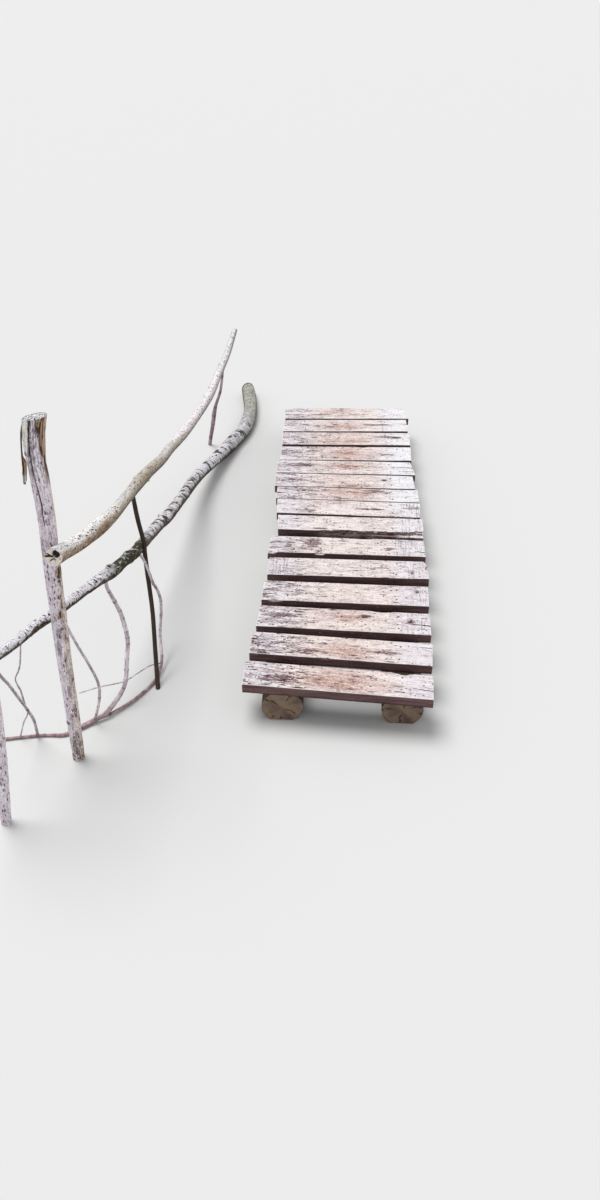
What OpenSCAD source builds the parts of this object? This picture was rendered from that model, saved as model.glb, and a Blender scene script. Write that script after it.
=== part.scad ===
// A narrow footbridge for a forest path: sawn boards laid across two log bearers,
// with a handrail of crooked poles along its left side. All sizes are in millimetres.
// X runs across the deck, Y along it and Z up. The ground is the plane Z = 0.

/* [Deck] */
// Usual length of a deck board, across the bridge
board_l = 700; // [600:10:800]
// Usual width of a deck board
board_w = 145; // [130:1:150]
// Thickness of a deck board
board_t = 40; // [32:1:50]
// Radius to which the top arrises of the boards are worn
arris_r = 4; // [1:0.5:8]

/* [Bearers] */
// Height of the hewn top of the bearers above the ground
bearer_h = 130; // [110:1:140]
// Distance from the middle of the deck to the middle of each bearer
bearer_x = 225; // [180:1:250]
// Radius of a bearer at its butt end
bearer_butt_r = 79; // [74:1:84]
// Radius of a bearer at its thin end
bearer_tip_r = 73; // [72:1:78]
// How far the bearers bow up in the middle
bearer_bow = 20; // [10:1:30]

/* [Handrail] */
// Height of the post above the ground
post_h = 1330; // [1300:5:1380]
// Radius of the post at the ground
post_r = 21; // [20:0.5:23]
// Radius of the upper rail at its near end
upper_rail_r = 28; // [25:1:31]
// Radius of the lower rail where it passes the post
lower_rail_r = 17; // [15:1:19]
// Radius of the dark stake under the rails
stake_r = 9; // [7:1:11]
// Radius of the prop under the far part of the upper rail
far_prop_r = 10; // [8:1:12]
// Radius of the prop under the near end of the lower rail
near_prop_r = 17; // [14:1:20]

/* [Hidden] */
// Each list below holds one value a board, from the near end of the deck to the far end
wider_by = [-5, -5, 0, 0, -5, -5, -10, -5, -20, -5, 0, 15, 10, 10, 5];
longer_by = [10, 10, 0, 0, 0, 5, -15, -5, 5, 5, 10, 0, 5, 0, 5];
turned_by = [-4.5, -4, -2.5, -1.5, -0.5, -1, -1, -1.5, -1, -0.5, 0, 1.5, 1.5, 2.5, 2.5];
moved_by = [-20, -10, 0, 5, 15, 10, 25, 15, 10, -5, -5, 0, 0, -5, -5];
// How far the near corner lies beyond the far corner, along the board, at each end
left_skew = [11, 10, 1, 2, 0, -8, 10, 9, 3, 1, 2, -4, 3, -6, 2];
right_skew = [3, -1, 3, -1, 3, 4, 0, -4, 5, 8, 19, -8, -5, -3, 16];
// The gap after each board, along the middle of the deck
gap_after = [50, 45, 45, 52, 41, 60, 16, 5, 8, 8, 10, 26, 16, 16];

// Drying splits run in from the boards' ends: board, end (-1 left, 1 right), Y, length, mouth
splits = [
    [0, 1, -22, 75, 3], [1, -1, 18, 95, 4], [1, 1, 35, 50, 3], [2, 1, -12, 110, 4],
    [3, -1, -30, 60, 3], [5, -1, 12, 85, 4], [5, 1, -35, 45, 3], [7, 1, 22, 70, 3],
    [8, -1, -8, 60, 3], [10, 1, 5, 120, 4], [10, 1, -40, 60, 3], [11, -1, 30, 70, 3],
    [13, 1, 14, 80, 4], [14, -1, -20, 55, 3],
];
// Bits broken out of the top arrises: board, middle X, edge (-1 near, 1 far), length, width, depth
chips = [
    [0, 240, 1, 90, 9, 12], [1, -60, -1, 60, 5, 9], [2, 150, 1, 110, 7, 10], [3, -290, -1, 70, 8, 12],
    [5, -338, -1, 80, 20, 18], [5, 60, 1, 120, 5, 8], [6, -40, -1, 70, 5, 12], [7, 210, -1, 90, 6, 10],
    [9, -120, -1, 60, 5, 8], [11, 90, 1, 80, 6, 9], [13, -210, -1, 90, 6, 10], [14, 130, 1, 130, 9, 14],
];
// The board with a broken right end, and what is gone there, seen from above
broken_board = 4;
broken_end = [
    [338, 80], [340, 64], [349, 42], [343, 22], [342, 0], [352, -12],
    [354, -30], [380, -30], [380, 80],
];
// The board with a knot in its near edge, and the knot
knot_board = 5;
knot_x = -120;
knot_l = 44;
knot_out = 7;
// The board whose near edge has split away on top and left a lower ledge, and the line of the
// break and of the ledge as distances from the near edge of the board
ledge_board = 6;
ledge_depth = 19;
ledge_break = [
    [-150, 0], [-110, 5], [-60, 3], [-10, 8], [40, 5], [90, 9],
    [140, 8], [190, 13], [250, 10], [310, 14], [360, 12],
];
ledge_edge = [[60, 0], [110, 5], [170, 7], [230, 12], [290, 11], [330, 13], [336, 0]];

board_count = len(wider_by);

function width_of(i) = board_w + wider_by[i];
function length_of(i) = board_l + longer_by[i];
function board_y(i) = i == 0
    ? width_of(0) / 2
    : board_y(i - 1) + (width_of(i - 1) + width_of(i)) / 2 + gap_after[i - 1];
deck_l = board_y(board_count - 1) + width_of(board_count - 1) / 2;

// The origin lies on the ground in the middle of the whole bridge, and these lead
// to it from the middle of the deck's near end
home_x = 480;
home_y = -1270;

// Each route is the line of a pole's heart, as points of X, Y, Z and radius,
// measured from the middle of the deck's near end
post_route = [
    [-949.5, -206, -30, post_r],
    [-940.5, -206, 250, post_r + 2],
    [-935.5, -206, 430, post_r + 2],
    [-927, -206, 640, post_r + 5],
    [-919, -206, 825, post_r + 5.5],
    [-908, -206, 990, post_r + 6],
    [-907, -206, 1110, post_r + 6],
    [-908, -206, 1190, post_r + 6.5],
    [-903, -206, 1260, post_r + 10],
    [-890, -206, post_h, post_r + 14],
    [-886, -206, post_h + 25, post_r + 14.5],
];
upper_rail_route = [
    [-879, -288, 913, upper_rail_r + 1],
    [-870.5, -240, 899, upper_rail_r],
    [-851, -163, 878, upper_rail_r - 2],
    [-834, -72, 857, upper_rail_r - 1],
    [-823, 24, 834, upper_rail_r],
    [-813, 162, 799, upper_rail_r - 3],
    [-812, 310, 762, upper_rail_r - 6],
    [-813, 469, 723, upper_rail_r - 6],
    [-805, 622, 698, upper_rail_r - 4],
    [-789, 733, 682, upper_rail_r - 5],
    [-769, 873, 660, upper_rail_r - 6],
    [-763, 1021, 636, upper_rail_r - 6],
    [-745, 1269, 590, upper_rail_r - 5],
    [-732, 1566, 538, upper_rail_r - 7],
    [-717, 1956, 486, upper_rail_r - 6],
    [-713, 2288, 468, upper_rail_r - 7],
    [-697, 2527, 477, upper_rail_r - 8],
    [-686, 2746, 499, upper_rail_r - 11],
    [-681, 2880, 512, upper_rail_r - 13],
];
lower_rail_route = [
    [-1054, -600, 726, lower_rail_r - 1],
    [-1013, -436, 681, lower_rail_r],
    [-987, -271, 637, lower_rail_r],
    [-968, -199, 618, lower_rail_r - 0.5],
    [-956, -134, 600, lower_rail_r],
    [-931, -5, 567, lower_rail_r + 2],
    [-905, 109, 539, lower_rail_r + 2],
    [-876, 229, 508, lower_rail_r + 6],
    [-861, 303, 490, lower_rail_r + 5],
    [-846, 404, 464, lower_rail_r + 5],
    [-829, 504, 438, lower_rail_r + 7],
    [-823, 669, 396, lower_rail_r + 7],
    [-812, 862, 346, lower_rail_r + 8],
    [-797, 981, 315, lower_rail_r + 8],
    [-788, 1273, 242, lower_rail_r + 9.5],
    [-772, 1714, 137, lower_rail_r + 13],
    [-725, 2033, 71, lower_rail_r + 16],
    [-661, 2321, 38, lower_rail_r + 21],
    [-607, 2529, 38, lower_rail_r + 23],
    [-592, 2744, 39, lower_rail_r + 24],
    [-611, 2952, 40, lower_rail_r + 25],
    [-641, 3136, 40, lower_rail_r + 23],
];
rail_stake_route = [
    [-809, 468, 712, stake_r - 1],
    [-807, 495, 585, stake_r],
    [-801, 522, 474, stake_r],
    [-801, 522, 417, stake_r],
    [-796, 505, 348, stake_r],
    [-786, 470, 293, stake_r],
    [-766, 395, 207, stake_r],
    [-746, 285, 95, stake_r],
    [-728, 190, 2, stake_r],
    [-724, 170, -20, stake_r],
];
far_prop_route = [
    [-698, 2380, 478, far_prop_r - 3],
    [-699, 2370, 450, far_prop_r - 3],
    [-707, 2360, 388, far_prop_r - 3],
    [-717, 2355, 336, far_prop_r - 2.5],
    [-744, 2355, 260, far_prop_r - 1],
    [-758, 2360, 205, far_prop_r + 2],
    [-771, 2365, 130, far_prop_r + 1],
    [-787, 2370, 51, far_prop_r],
    [-798, 2375, -10, far_prop_r],
];
near_prop_route = [
    [-1042, -522, 715, near_prop_r - 2],
    [-1046, -522, 640, near_prop_r - 2],
    [-1056, -521, 500, near_prop_r - 1],
    [-1074, -519, 330, near_prop_r],
    [-1098, -518, 150, near_prop_r],
    [-1120, -518, -10, near_prop_r + 1],
];
// A dead branch leans on the lower rail: its stem lies on the ground, and its forks reach up
stem_route = [
    [-1330, -152, 6, 5],
    [-1242, -132, 6, 6],
    [-1132, -109, 6, 6],
    [-1081, -103, 6, 6],
    [-1023, -98, 7, 7],
    [-968, -55, 11, 9],
];
fork_a_route = [
    [-930, -24, 16, 5],
    [-914, -33, 64, 5],
    [-899, -25, 122, 5],
    [-892, -30, 202, 5],
    [-906, -60, 320, 5],
    [-925, -80, 409, 5],
    [-945, -100, 514, 4.5],
    [-954, -117, 590, 4.5],
];
fork_b_route = [
    [-968, -55, 11, 9],
    [-930, -22, 14, 9],
    [-890, 10, 26, 9],
    [-852, 80, 52, 9],
    [-833, 120, 94, 8.5],
    [-831, 170, 160, 8.5],
    [-827, 200, 234, 8.5],
    [-844, 225, 318, 8],
    [-858, 225, 372, 7.5],
    [-880, 218, 447, 7],
    [-885, 214, 492, 6.5],
];
fork_c_route = [
    [-930, -22, 13, 6],
    [-875, 20, 12, 6],
    [-809, 100, 9, 6],
    [-750, 210, 8, 6],
    [-735, 280, 15, 6],
    [-735, 340, 36, 6],
    [-751, 420, 94, 6],
    [-755, 510, 170, 6],
    [-759.5, 500, 248, 6],
    [-771, 480, 301, 6],
    [-778, 470, 350, 5.5],
    [-793.5, 478, 400, 5.5],
    [-808, 484, 426.5, 5.5],
    [-814, 487, 438, 5.5],
];
fork_d_route = [
    [-1126, -108, 8, 6],
    [-1120, -120, 40, 5],
    [-1109, -150, 123, 5],
    [-1107, -190, 211, 5],
    [-1102, -250, 320, 5],
    [-1091, -320, 433, 5],
    [-1075, -400, 542, 5],
    [-1050, -480, 660, 4.5],
    [-1033, -492, 692, 4.5],
];
twig_d_route = [
    [-1106, -200, 236, 3],
    [-1098, -222, 290, 3],
    [-1092, -240, 338, 3],
    [-1088, -270, 414, 2.5],
    [-1062, -290, 470, 2.5],
    [-1041, -310, 524, 2.5],
    [-1008, -350, 640, 2.5],
    [-1004, -360, 662, 2.5],
];
twig_stem_route = [
    [-1107, -188, 209, 2.5],
    [-1128, -150, 148, 2.5],
    [-1158, -130, 88, 2.5],
    [-1187, -119, 8, 2.5],
];
twig_c_route = [
    [-740, 312, 24, 2.5],
    [-775, 250, 55, 2.5],
    [-835, 118, 92, 2.5],
    [-905, 20, 142, 2.5],
    [-965, -42, 163, 2],
];

// Stubs of side branches on the rails: place along the route, turn round it, height, radius
upper_rail_stubs = [
    [5.1, 25, 2, 5], [7.75, 130, 4, 6], [8.1, -20, 4, 6],
    [13.9, 150, 5, 8], [14.3, 150, 4, 7], [15.5, 170, 3, 6],
];
lower_rail_stubs = [
    [6.2, 60, 3, 6], [7.3, 110, 5, 9], [7.8, 20, 4, 8], [10.2, 100, 5, 9],
    [12.9, 160, 9, 6], [14.2, 0, 4, 9], [17.5, 40, 5, 10],
];

// The post's crack runs down from its top to this point of the route, on the side that looks
// along -Y, and at these turns round the post, one for each point of the route from there up
crack_foot = 5;
crack_turns = [-92, -99, -104.5, -103.5, -101, -100];
crack_wide = 3;
// A strip of loose bark hangs from the post's outer side
flake_route = [
    [-952, -214, 1117, 4.5],
    [-946.5, -214, 1149, 6],
    [-941.5, -214, 1184, 6],
    [-944, -214, 1203, 3.5],
    [-943, -214, 1219, 2.5],
    [-938, -213, 1257, 2.5],
    [-932, -213, 1288, 2.5],
    [-922, -212, 1318, 3],
];
// The post is sawn off aslant, higher on the side of the deck
post_top_slope = [-6, -9, 0];

function board_name(i) = str("plank_", i < 9 ? "0" : "", i + 1);

// A point of a smooth curve through all points of a route, from s = 0 to the last one
function along(route, s) = let(
    last = len(route) - 1,
    i = min(floor(s), last - 1),
    t = s - i,
    b = route[i],
    c = route[i + 1],
    a = i > 0 ? route[i - 1] : 2 * b - c,
    d = i + 2 <= last ? route[i + 2] : 2 * c - b
) b + (c - a) * t / 2
    + (2 * a - 5 * b + 4 * c - d) * pow(t, 2) / 2
    + (3 * b - a - 3 * c + d) * pow(t, 3) / 2;

function place(p) = [p[0], p[1], p[2]];
function unit(v) = v / norm(v);

// The heading of a route at s
function heading(route, s) = let(
    last = len(route) - 1,
    from = max(0, s - 0.05),
    to = min(last, s + 0.05)
) unit(place(along(route, to)) - place(along(route, from)));

// A spot on a pole's round at s, a height above its bark, at a turn from the given right
function on_bark(p, right, top, turn, height) =
    place(p) + (p[3] + height) * (cos(turn) * right + sin(turn) * top);

// One ring of points round a route. The pole is a little out of round, and the lobes
// wander along it as they do on a grown stem.
function ring(route, s, sides, uneven, up) = let(
    p = along(route, s),
    run = heading(route, s),
    right = unit(cross(run, up)),
    top = cross(right, run)
) [for (k = [0 : sides - 1]) let(
    a = 360 * k / sides,
    lobes = sin(2 * a + 70 * s) + 0.6 * sin(3 * a - 110 * s) + 0.5 * sin(200 * s)
) on_bark(p, right, top, a, p[3] * uneven * lobes)];

// A grown pole along a route, with sawn ends. A stretch of it, from one point of the route
// to another, has the same round as the whole, so that it can be cut out of what it touches.
module pole(route, steps = 2, sides = 12, uneven = 0.03, up = [0, 0, 1], stretch = []) {
    from = len(stretch) > 0 ? stretch[0] : 0;
    to = len(stretch) > 0 ? stretch[1] : len(route) - 1;
    rings = (to - from) * steps;
    body = [for (n = [0 : rings]) each ring(route, from + n / steps, sides, uneven, up)];
    walls = [for (n = [0 : rings - 1], k = [0 : sides - 1]) let(
        a = n * sides + k,
        b = n * sides + (k + 1) % sides
    ) each [[a, b, a + sides], [b, b + sides, a + sides]]];
    near_end = [for (k = [sides - 1 : -1 : 0]) k];
    far_end = [for (k = [0 : sides - 1]) rings * sides + k];
    polyhedron(points = body, faces = concat(walls, [near_end, far_end]), convexity = 6);
}

// The stub of a side branch, broken off close to its pole
module stub(route, s, turn, height, r) {
    p = along(route, s);
    run = heading(route, s);
    right = unit(cross(run, [0, 0, 1]));
    tip = on_bark(p, right, cross(right, run), turn, height);
    pole([[each place(p), r * 1.5], [each tip, r]], steps = 1, sides = 8, uneven = 0.06, up = run);
}

module stubs(route, list, stretch = []) {
    near = len(stretch) > 0 ? [for (one = list) if (one[0] > stretch[0] && one[0] < stretch[1]) one] : list;
    for (one = near) stub(route, one[0], one[1], one[2], one[3]);
}

// Everything is drawn from the middle of the deck's near end and moved here to the origin
module at_home() {
    translate([home_x, home_y, 0]) children();
}

// What is left above the ground
module above_ground() {
    intersection() {
        children();
        translate([-3000, -3000, 0]) cube([6000, 9000, 3000]);
    }
}

// The section of a board, with its top arrises worn round
module board_section(w) {
    round_x = w / 2 - arris_r;
    round_z = board_t - arris_r;
    polygon([
        [-w / 2, 0],
        [w / 2, 0],
        for (a = [0 : 30 : 90]) [round_x + arris_r * cos(a), round_z + arris_r * sin(a)],
        for (a = [90 : 30 : 180]) [-round_x + arris_r * cos(a), round_z + arris_r * sin(a)],
    ]);
}

// The outline of a board from above: its ends were never sawn quite square
module board_outline(i) {
    l = length_of(i);
    w = width_of(i);
    polygon([
        [-l / 2 + left_skew[i] / 2, -w / 2 - 1],
        [l / 2 + right_skew[i] / 2, -w / 2 - 1],
        [l / 2 - right_skew[i] / 2, w / 2 + 1],
        [-l / 2 - left_skew[i] / 2, w / 2 + 1],
    ]);
}

module split_cut(l, one) {
    end = one[1];
    mouth = one[4];
    beyond = l / 2 + 20;
    linear_extrude(3 * board_t, center = true)
    polygon([
        [end * beyond, one[2] - mouth / 2],
        [end * beyond, one[2] + mouth / 2],
        [end * (l / 2 - one[3]), one[2] + 2 * mouth],
    ]);
}

// A broken-out bit of a top arris is a shallow scallop with a sloping floor
module chip_cut(w, one) {
    edge = one[2];
    half = one[3] / 2;
    translate([one[1], edge * w / 2, board_t])
    rotate([edge * 20, 0, 0])
    translate([0, 0, -one[5]])
    linear_extrude(2 * board_t)
    polygon([
        [-half, edge * 20],
        [-half * 0.9, 0],
        [-half * 0.35, -edge * one[4]],
        [half * 0.4, -edge * one[4] * 0.8],
        [half * 0.8, 0],
        [half, edge * 20],
    ]);
}

// The top of the split edge goes, down to the ledge
module ledge_cut(w) {
    translate([0, -w / 2, board_t - ledge_depth])
    linear_extrude(2 * board_t)
    polygon(concat([[-150, -40]], ledge_break, [[380, -40]]));
}

// The lower ledge stands out beyond the edge of the board
module ledge(w) {
    translate([0, -w / 2, 0])
    linear_extrude(board_t - ledge_depth)
    polygon(concat(
        [[ledge_edge[0][0], 5]],
        [for (p = ledge_edge) [p[0], -p[1]]],
        [[336, 5]]
    ));
}

// A knot swells out of the near edge of its board
module edge_knot(w) {
    translate([knot_x, -w / 2, 0])
    linear_extrude(board_t - 3)
    polygon([for (a = [180 : 20 : 360]) [knot_l / 2 * cos(a), knot_out * sin(a)]]);
}

module plank(i) {
    l = length_of(i);
    w = width_of(i);
    color([0.66, 0.6, 0.55])
    at_home()
    translate([moved_by[i], board_y(i), bearer_h])
    rotate(turned_by[i])
    difference() {
        union() {
            intersection() {
                rotate([90, 0, 90]) linear_extrude(l + 100, center = true) board_section(w);
                linear_extrude(board_t) board_outline(i);
            }
            if (i == ledge_board) ledge(w);
            if (i == knot_board) edge_knot(w);
        }
        for (one = splits) if (one[0] == i) split_cut(l, one);
        for (one = chips) if (one[0] == i) chip_cut(w, one);
        if (i == ledge_board) ledge_cut(w);
        if (i == broken_board) translate([0, 0, -1]) linear_extrude(board_t + 2) polygon(broken_end);
    }
}

// A bearer is a log with its bow turned up, hewn flat on top for the boards and
// flat under both ends where it lies on the ground
module bearer(side) {
    inset = 25;
    thinner = bearer_tip_r - bearer_butt_r;
    ends_z = bearer_h / 2;
    color([0.42, 0.35, 0.29])
    at_home()
    intersection() {
        pole([
            [side * bearer_x, inset, ends_z, bearer_butt_r],
            [side * (bearer_x + 4), deck_l * 0.28, ends_z + bearer_bow * 0.8, bearer_butt_r + thinner * 0.3],
            [side * (bearer_x - 3), deck_l * 0.55, ends_z + bearer_bow, bearer_butt_r + thinner * 0.5],
            [side * (bearer_x + 3), deck_l * 0.8, ends_z + bearer_bow * 0.6, bearer_butt_r + thinner * 0.8],
            [side * bearer_x, deck_l - inset, ends_z, bearer_tip_r],
        ], steps = 6, sides = 22, uneven = 0.015);
        translate([-1000, -100, 0]) cube([2000, deck_l + 200, bearer_h]);
    }
}

module bearer_left() {
    bearer(-1);
}

module bearer_right() {
    bearer(1);
}

module post_pole(stretch = []) {
    pole(post_route, steps = 3, sides = 18, uneven = 0.025, up = [0, 1, 0], stretch = stretch);
}

module upper_rail_pole(stretch = []) {
    pole(upper_rail_route, steps = 3, sides = 16, uneven = 0.025, stretch = stretch);
    stubs(upper_rail_route, upper_rail_stubs, stretch);
}

module lower_rail_pole(stretch = []) {
    pole(lower_rail_route, steps = 3, sides = 16, stretch = stretch);
    stubs(lower_rail_route, lower_rail_stubs, stretch);
}

// The drying crack opens upwards
module post_crack() {
    line = [for (k = [0 : len(crack_turns) - 1])
        [
            each on_bark(post_route[crack_foot + k], [1, 0, 0], [0, 1, 0], crack_turns[k], -1),
            1 + crack_wide * k / len(crack_turns)
        ]
    ];
    pole(line, steps = 3, sides = 6, uneven = 0.05, up = [0, 1, 0]);
}

module bark_flake() {
    pole(flake_route, steps = 2, sides = 6, uneven = 0.1, up = [0, 1, 0]);
}

module rail_post() {
    color([0.62, 0.53, 0.52])
    at_home()
    above_ground()
    difference() {
        union() {
            post_pole();
            bark_flake();
        }
        post_crack();
        translate([-890, -206, post_h - 4]) rotate(post_top_slope) translate([-100, -100, 0]) cube(200);
    }
}

// Moves what is drawn at the sawn near end of the upper rail there, with Y along the rail
module at_rail_end() {
    start = place(upper_rail_route[0]);
    run = heading(upper_rail_route, 0);
    right = unit(cross(run, [0, 0, 1]));
    top = cross(right, run);
    multmatrix([for (k = [0 : 2]) [right[k], run[k], top[k], start[k]]]) children();
}

// The rail's heart has rotted out at the sawn end, and a drying crack runs from it to the bark
module rotten_heart() {
    at_rail_end()
    rotate([-90, 0, 0]) {
        translate([6, -9, -2]) cylinder(h = 42, r1 = 11.5, r2 = 6, $fn = 9);
        translate([0, 0, -2]) linear_extrude(20) polygon([[6, -8], [6, 2], [-40, 4], [-40, -1]]);
        translate([0, 0, -2]) linear_extrude(9) polygon([[-12, 15], [-1, 5], [5, 8], [-9, 18]]);
    }
}

// Both rails are scribed to the round of the post where they are fixed to it. The stretches
// named here and below are those that touch.
module upper_rail() {
    color([0.66, 0.56, 0.42])
    at_home()
    difference() {
        union() upper_rail_pole();
        post_pole([3, 6]);
        rotten_heart();
    }
}

module lower_rail() {
    color([0.58, 0.56, 0.52])
    at_home()
    above_ground()
    difference() {
        union() lower_rail_pole();
        post_pole([2, 4]);
    }
}

// The stake and the props stand on the ground and are notched to the rails
module rail_stake() {
    color([0.27, 0.18, 0.13])
    at_home()
    above_ground()
    difference() {
        pole(rail_stake_route, steps = 3, sides = 10, up = [1, 0, 0]);
        upper_rail_pole([6, 8]);
        lower_rail_pole([9, 12]);
    }
}

module far_prop() {
    color([0.56, 0.48, 0.46])
    at_home()
    above_ground()
    difference() {
        pole(far_prop_route, steps = 3, sides = 10, up = [0, 1, 0]);
        upper_rail_pole([14, 17]);
    }
}

module near_prop() {
    color([0.62, 0.53, 0.52])
    at_home()
    above_ground()
    difference() {
        pole(near_prop_route, steps = 3, sides = 14, up = [0, 1, 0]);
        lower_rail_pole([0, 2]);
    }
}

module leaning_branch() {
    color([0.58, 0.5, 0.48])
    at_home()
    above_ground()
    difference() {
        union() {
            pole(stem_route, steps = 2, sides = 8);
            pole(fork_a_route, steps = 2, sides = 8, up = [0, 1, 0]);
            pole(fork_b_route, steps = 2, sides = 8, up = [1, 0, 0]);
            pole(fork_c_route, steps = 2, sides = 8, up = [1, 0, 0]);
            pole(fork_d_route, steps = 2, sides = 8, up = [1, 0, 0]);
            pole(twig_d_route, steps = 2, sides = 6, up = [0, 1, 0]);
            pole(twig_stem_route, steps = 2, sides = 6, up = [0, 1, 0]);
            pole(twig_c_route, steps = 2, sides = 6);
        }
        lower_rail_pole([0, 12]);
    }
}

for (i = [0 : board_count - 1]) plank(i);
bearer_left();
bearer_right();
rail_post();
upper_rail();
lower_rail();
rail_stake();
far_prop();
near_prop();
leaning_branch();
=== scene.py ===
"""The looks of the wooden footbridge: weathered boards, crooked poles, nails, floor, light and camera.

Boards and poles follow the same routes and sizes as the solids. Those are given here in
millimetres from the middle of the deck's near end, and meshes are made in metres in the row frame.
"""
import math

import bpy
import numpy as np
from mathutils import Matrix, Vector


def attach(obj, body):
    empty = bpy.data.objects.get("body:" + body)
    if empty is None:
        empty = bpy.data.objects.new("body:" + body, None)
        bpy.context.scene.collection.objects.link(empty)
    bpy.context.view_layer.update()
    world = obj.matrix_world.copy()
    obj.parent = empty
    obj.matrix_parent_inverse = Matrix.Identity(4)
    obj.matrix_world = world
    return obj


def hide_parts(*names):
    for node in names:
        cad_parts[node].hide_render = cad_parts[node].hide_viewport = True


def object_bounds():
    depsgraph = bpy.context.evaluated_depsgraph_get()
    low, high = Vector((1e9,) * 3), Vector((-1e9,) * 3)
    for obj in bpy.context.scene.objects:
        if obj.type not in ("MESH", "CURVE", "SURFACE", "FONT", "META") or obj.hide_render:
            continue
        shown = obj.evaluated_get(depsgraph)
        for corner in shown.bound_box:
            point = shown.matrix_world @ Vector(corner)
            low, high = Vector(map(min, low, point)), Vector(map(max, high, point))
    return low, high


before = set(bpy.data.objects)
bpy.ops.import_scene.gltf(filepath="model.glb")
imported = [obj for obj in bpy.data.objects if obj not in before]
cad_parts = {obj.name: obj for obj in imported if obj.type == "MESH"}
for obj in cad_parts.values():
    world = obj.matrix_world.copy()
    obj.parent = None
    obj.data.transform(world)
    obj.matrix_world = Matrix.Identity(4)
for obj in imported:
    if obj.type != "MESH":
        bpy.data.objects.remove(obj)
cad_low, cad_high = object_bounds()

MM = 0.001
HOME = np.array([480.0, -1270.0, 0.0])  # the middle of the deck's near end in the row frame

# Deck, one value a board from the near end to the far end, as in the solids
BOARD_L, BOARD_W, BOARD_T, ARRIS_R = 700, 145, 40, 4
BEARER_H, BEARER_OUT = 130, 225
WIDER_BY = [-5, -5, 0, 0, -5, -5, -10, -5, -20, -5, 0, 15, 10, 10, 5]
LONGER_BY = [10, 10, 0, 0, 0, 5, -15, -5, 5, 5, 10, 0, 5, 0, 5]
TURNED_BY = [-4.5, -4, -2.5, -1.5, -0.5, -1, -1, -1.5, -1, -0.5, 0, 1.5, 1.5, 2.5, 2.5]
MOVED_BY = [-20, -10, 0, 5, 15, 10, 25, 15, 10, -5, -5, 0, 0, -5, -5]
LEFT_SKEW = [11, 10, 1, 2, 0, -8, 10, 9, 3, 1, 2, -4, 3, -6, 2]
RIGHT_SKEW = [3, -1, 3, -1, 3, 4, 0, -4, 5, 8, 19, -8, -5, -3, 16]
GAP_AFTER = [50, 45, 45, 52, 41, 60, 16, 5, 8, 8, 10, 26, 16, 16]
BOARDS = len(WIDER_BY)

# Drying splits: board, end (-1 left, 1 right), Y, length, mouth
SPLITS = [
    (0, 1, -22, 75, 3), (1, -1, 18, 95, 4), (1, 1, 35, 50, 3), (2, 1, -12, 110, 4), (3, -1, -30, 60, 3),
    (5, -1, 12, 85, 4), (5, 1, -35, 45, 3), (7, 1, 22, 70, 3), (8, -1, -8, 60, 3), (10, 1, 5, 120, 4),
    (10, 1, -40, 60, 3), (11, -1, 30, 70, 3), (13, 1, 14, 80, 4), (14, -1, -20, 55, 3),
]
# Bits broken out of the top arrises: board, middle X, edge (-1 near, 1 far), length, width, depth
CHIPS = [
    (0, 240, 1, 90, 9, 12), (1, -60, -1, 60, 5, 9), (2, 150, 1, 110, 7, 10), (3, -290, -1, 70, 8, 12),
    (5, -342, -1, 60, 16, 12), (5, 60, 1, 120, 5, 8), (6, -40, -1, 70, 5, 12), (7, 210, -1, 90, 6, 10),
    (9, -120, -1, 60, 5, 8), (11, 90, 1, 80, 6, 9), (13, -210, -1, 90, 6, 10), (14, 130, 1, 130, 9, 14),
]
BROKEN_BOARD = 4
BROKEN_END = [(-30, 354), (-12, 352), (0, 342), (22, 343), (42, 349), (64, 340), (80, 338)]  # Y, X
KNOT_BOARD, KNOT_X, KNOT_L, KNOT_OUT = 5, -120, 44, 7
# The torn near edge of one board, as X and what is gone above, and X and what stands out below
LEDGE_BOARD = 6
LEDGE_BREAK = [
    (-150, 0), (-110, 5), (-60, 3), (-10, 8), (40, 5), (90, 9), (140, 8), (190, 13), (250, 10),
    (310, 14), (360, 12),
]
LEDGE_EDGE = [(60, 0), (110, 5), (170, 7), (230, 12), (290, 11), (330, 13), (350, 12)]

# What time has left on the boards' tops: board, middle X and Y, half length and half width
KNOTS = [
    (1, -271, -28, 38, 22), (2, 88, 30, 36, 17), (2, 271, 12, 24, 22), (3, 303, 24, 20, 24),
    (4, 280, -28, 12, 8), (5, -126, -58, 24, 18), (5, 100, -12, 17, 10), (8, 190, 24, 30, 16),
    (9, 200, 14, 22, 16), (10, -15, 27, 14, 8), (12, 272, 12, 44, 16), (13, -60, 10, 18, 10),
]
STAINS = [
    (0, -230, -20, 80, 24), (1, 170, -8, 75, 14), (1, -119, -30, 60, 9), (2, -250, 12, 95, 22),
    (3, 160, -2, 20, 5), (3, -188, 6, 24, 8), (4, 136, 4, 58, 5), (5, -158, 12, 46, 44),
    (5, 194, -14, 36, 15), (6, -140, -50, 48, 9), (7, 118, -8, 90, 12), (7, 308, 12, 44, 8),
    (7, -176, -36, 40, 8), (8, 130, 34, 60, 22), (8, -16, -50, 44, 5), (9, -256, 2, 40, 10),
    (10, -230, 20, 90, 26), (11, 222, -12, 46, 12), (12, 225, 22, 70, 14), (13, 170, 8, 110, 14),
    (14, -150, -20, 90, 8),
]
SOIL = [
    (0, 0, -10, 220, 50), (1, 10, -20, 120, 40), (2, 18, 20, 60, 18), (7, -30, 56, 100, 10),
    (8, 20, 22, 150, 34), (9, 35, -56, 110, 14), (10, 20, 10, 120, 40), (11, 8, 6, 60, 56),
    (12, -20, -40, 130, 22), (13, -30, -20, 130, 34), (14, -60, 20, 100, 26),
]
# Saw marks across the grain: board, middle X, half length
SAWN = [(2, 300, 60), (3, 310, 40), (4, 290, 60), (4, -300, 50), (5, 270, 70), (6, 290, 60), (7, 300, 70)]
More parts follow.
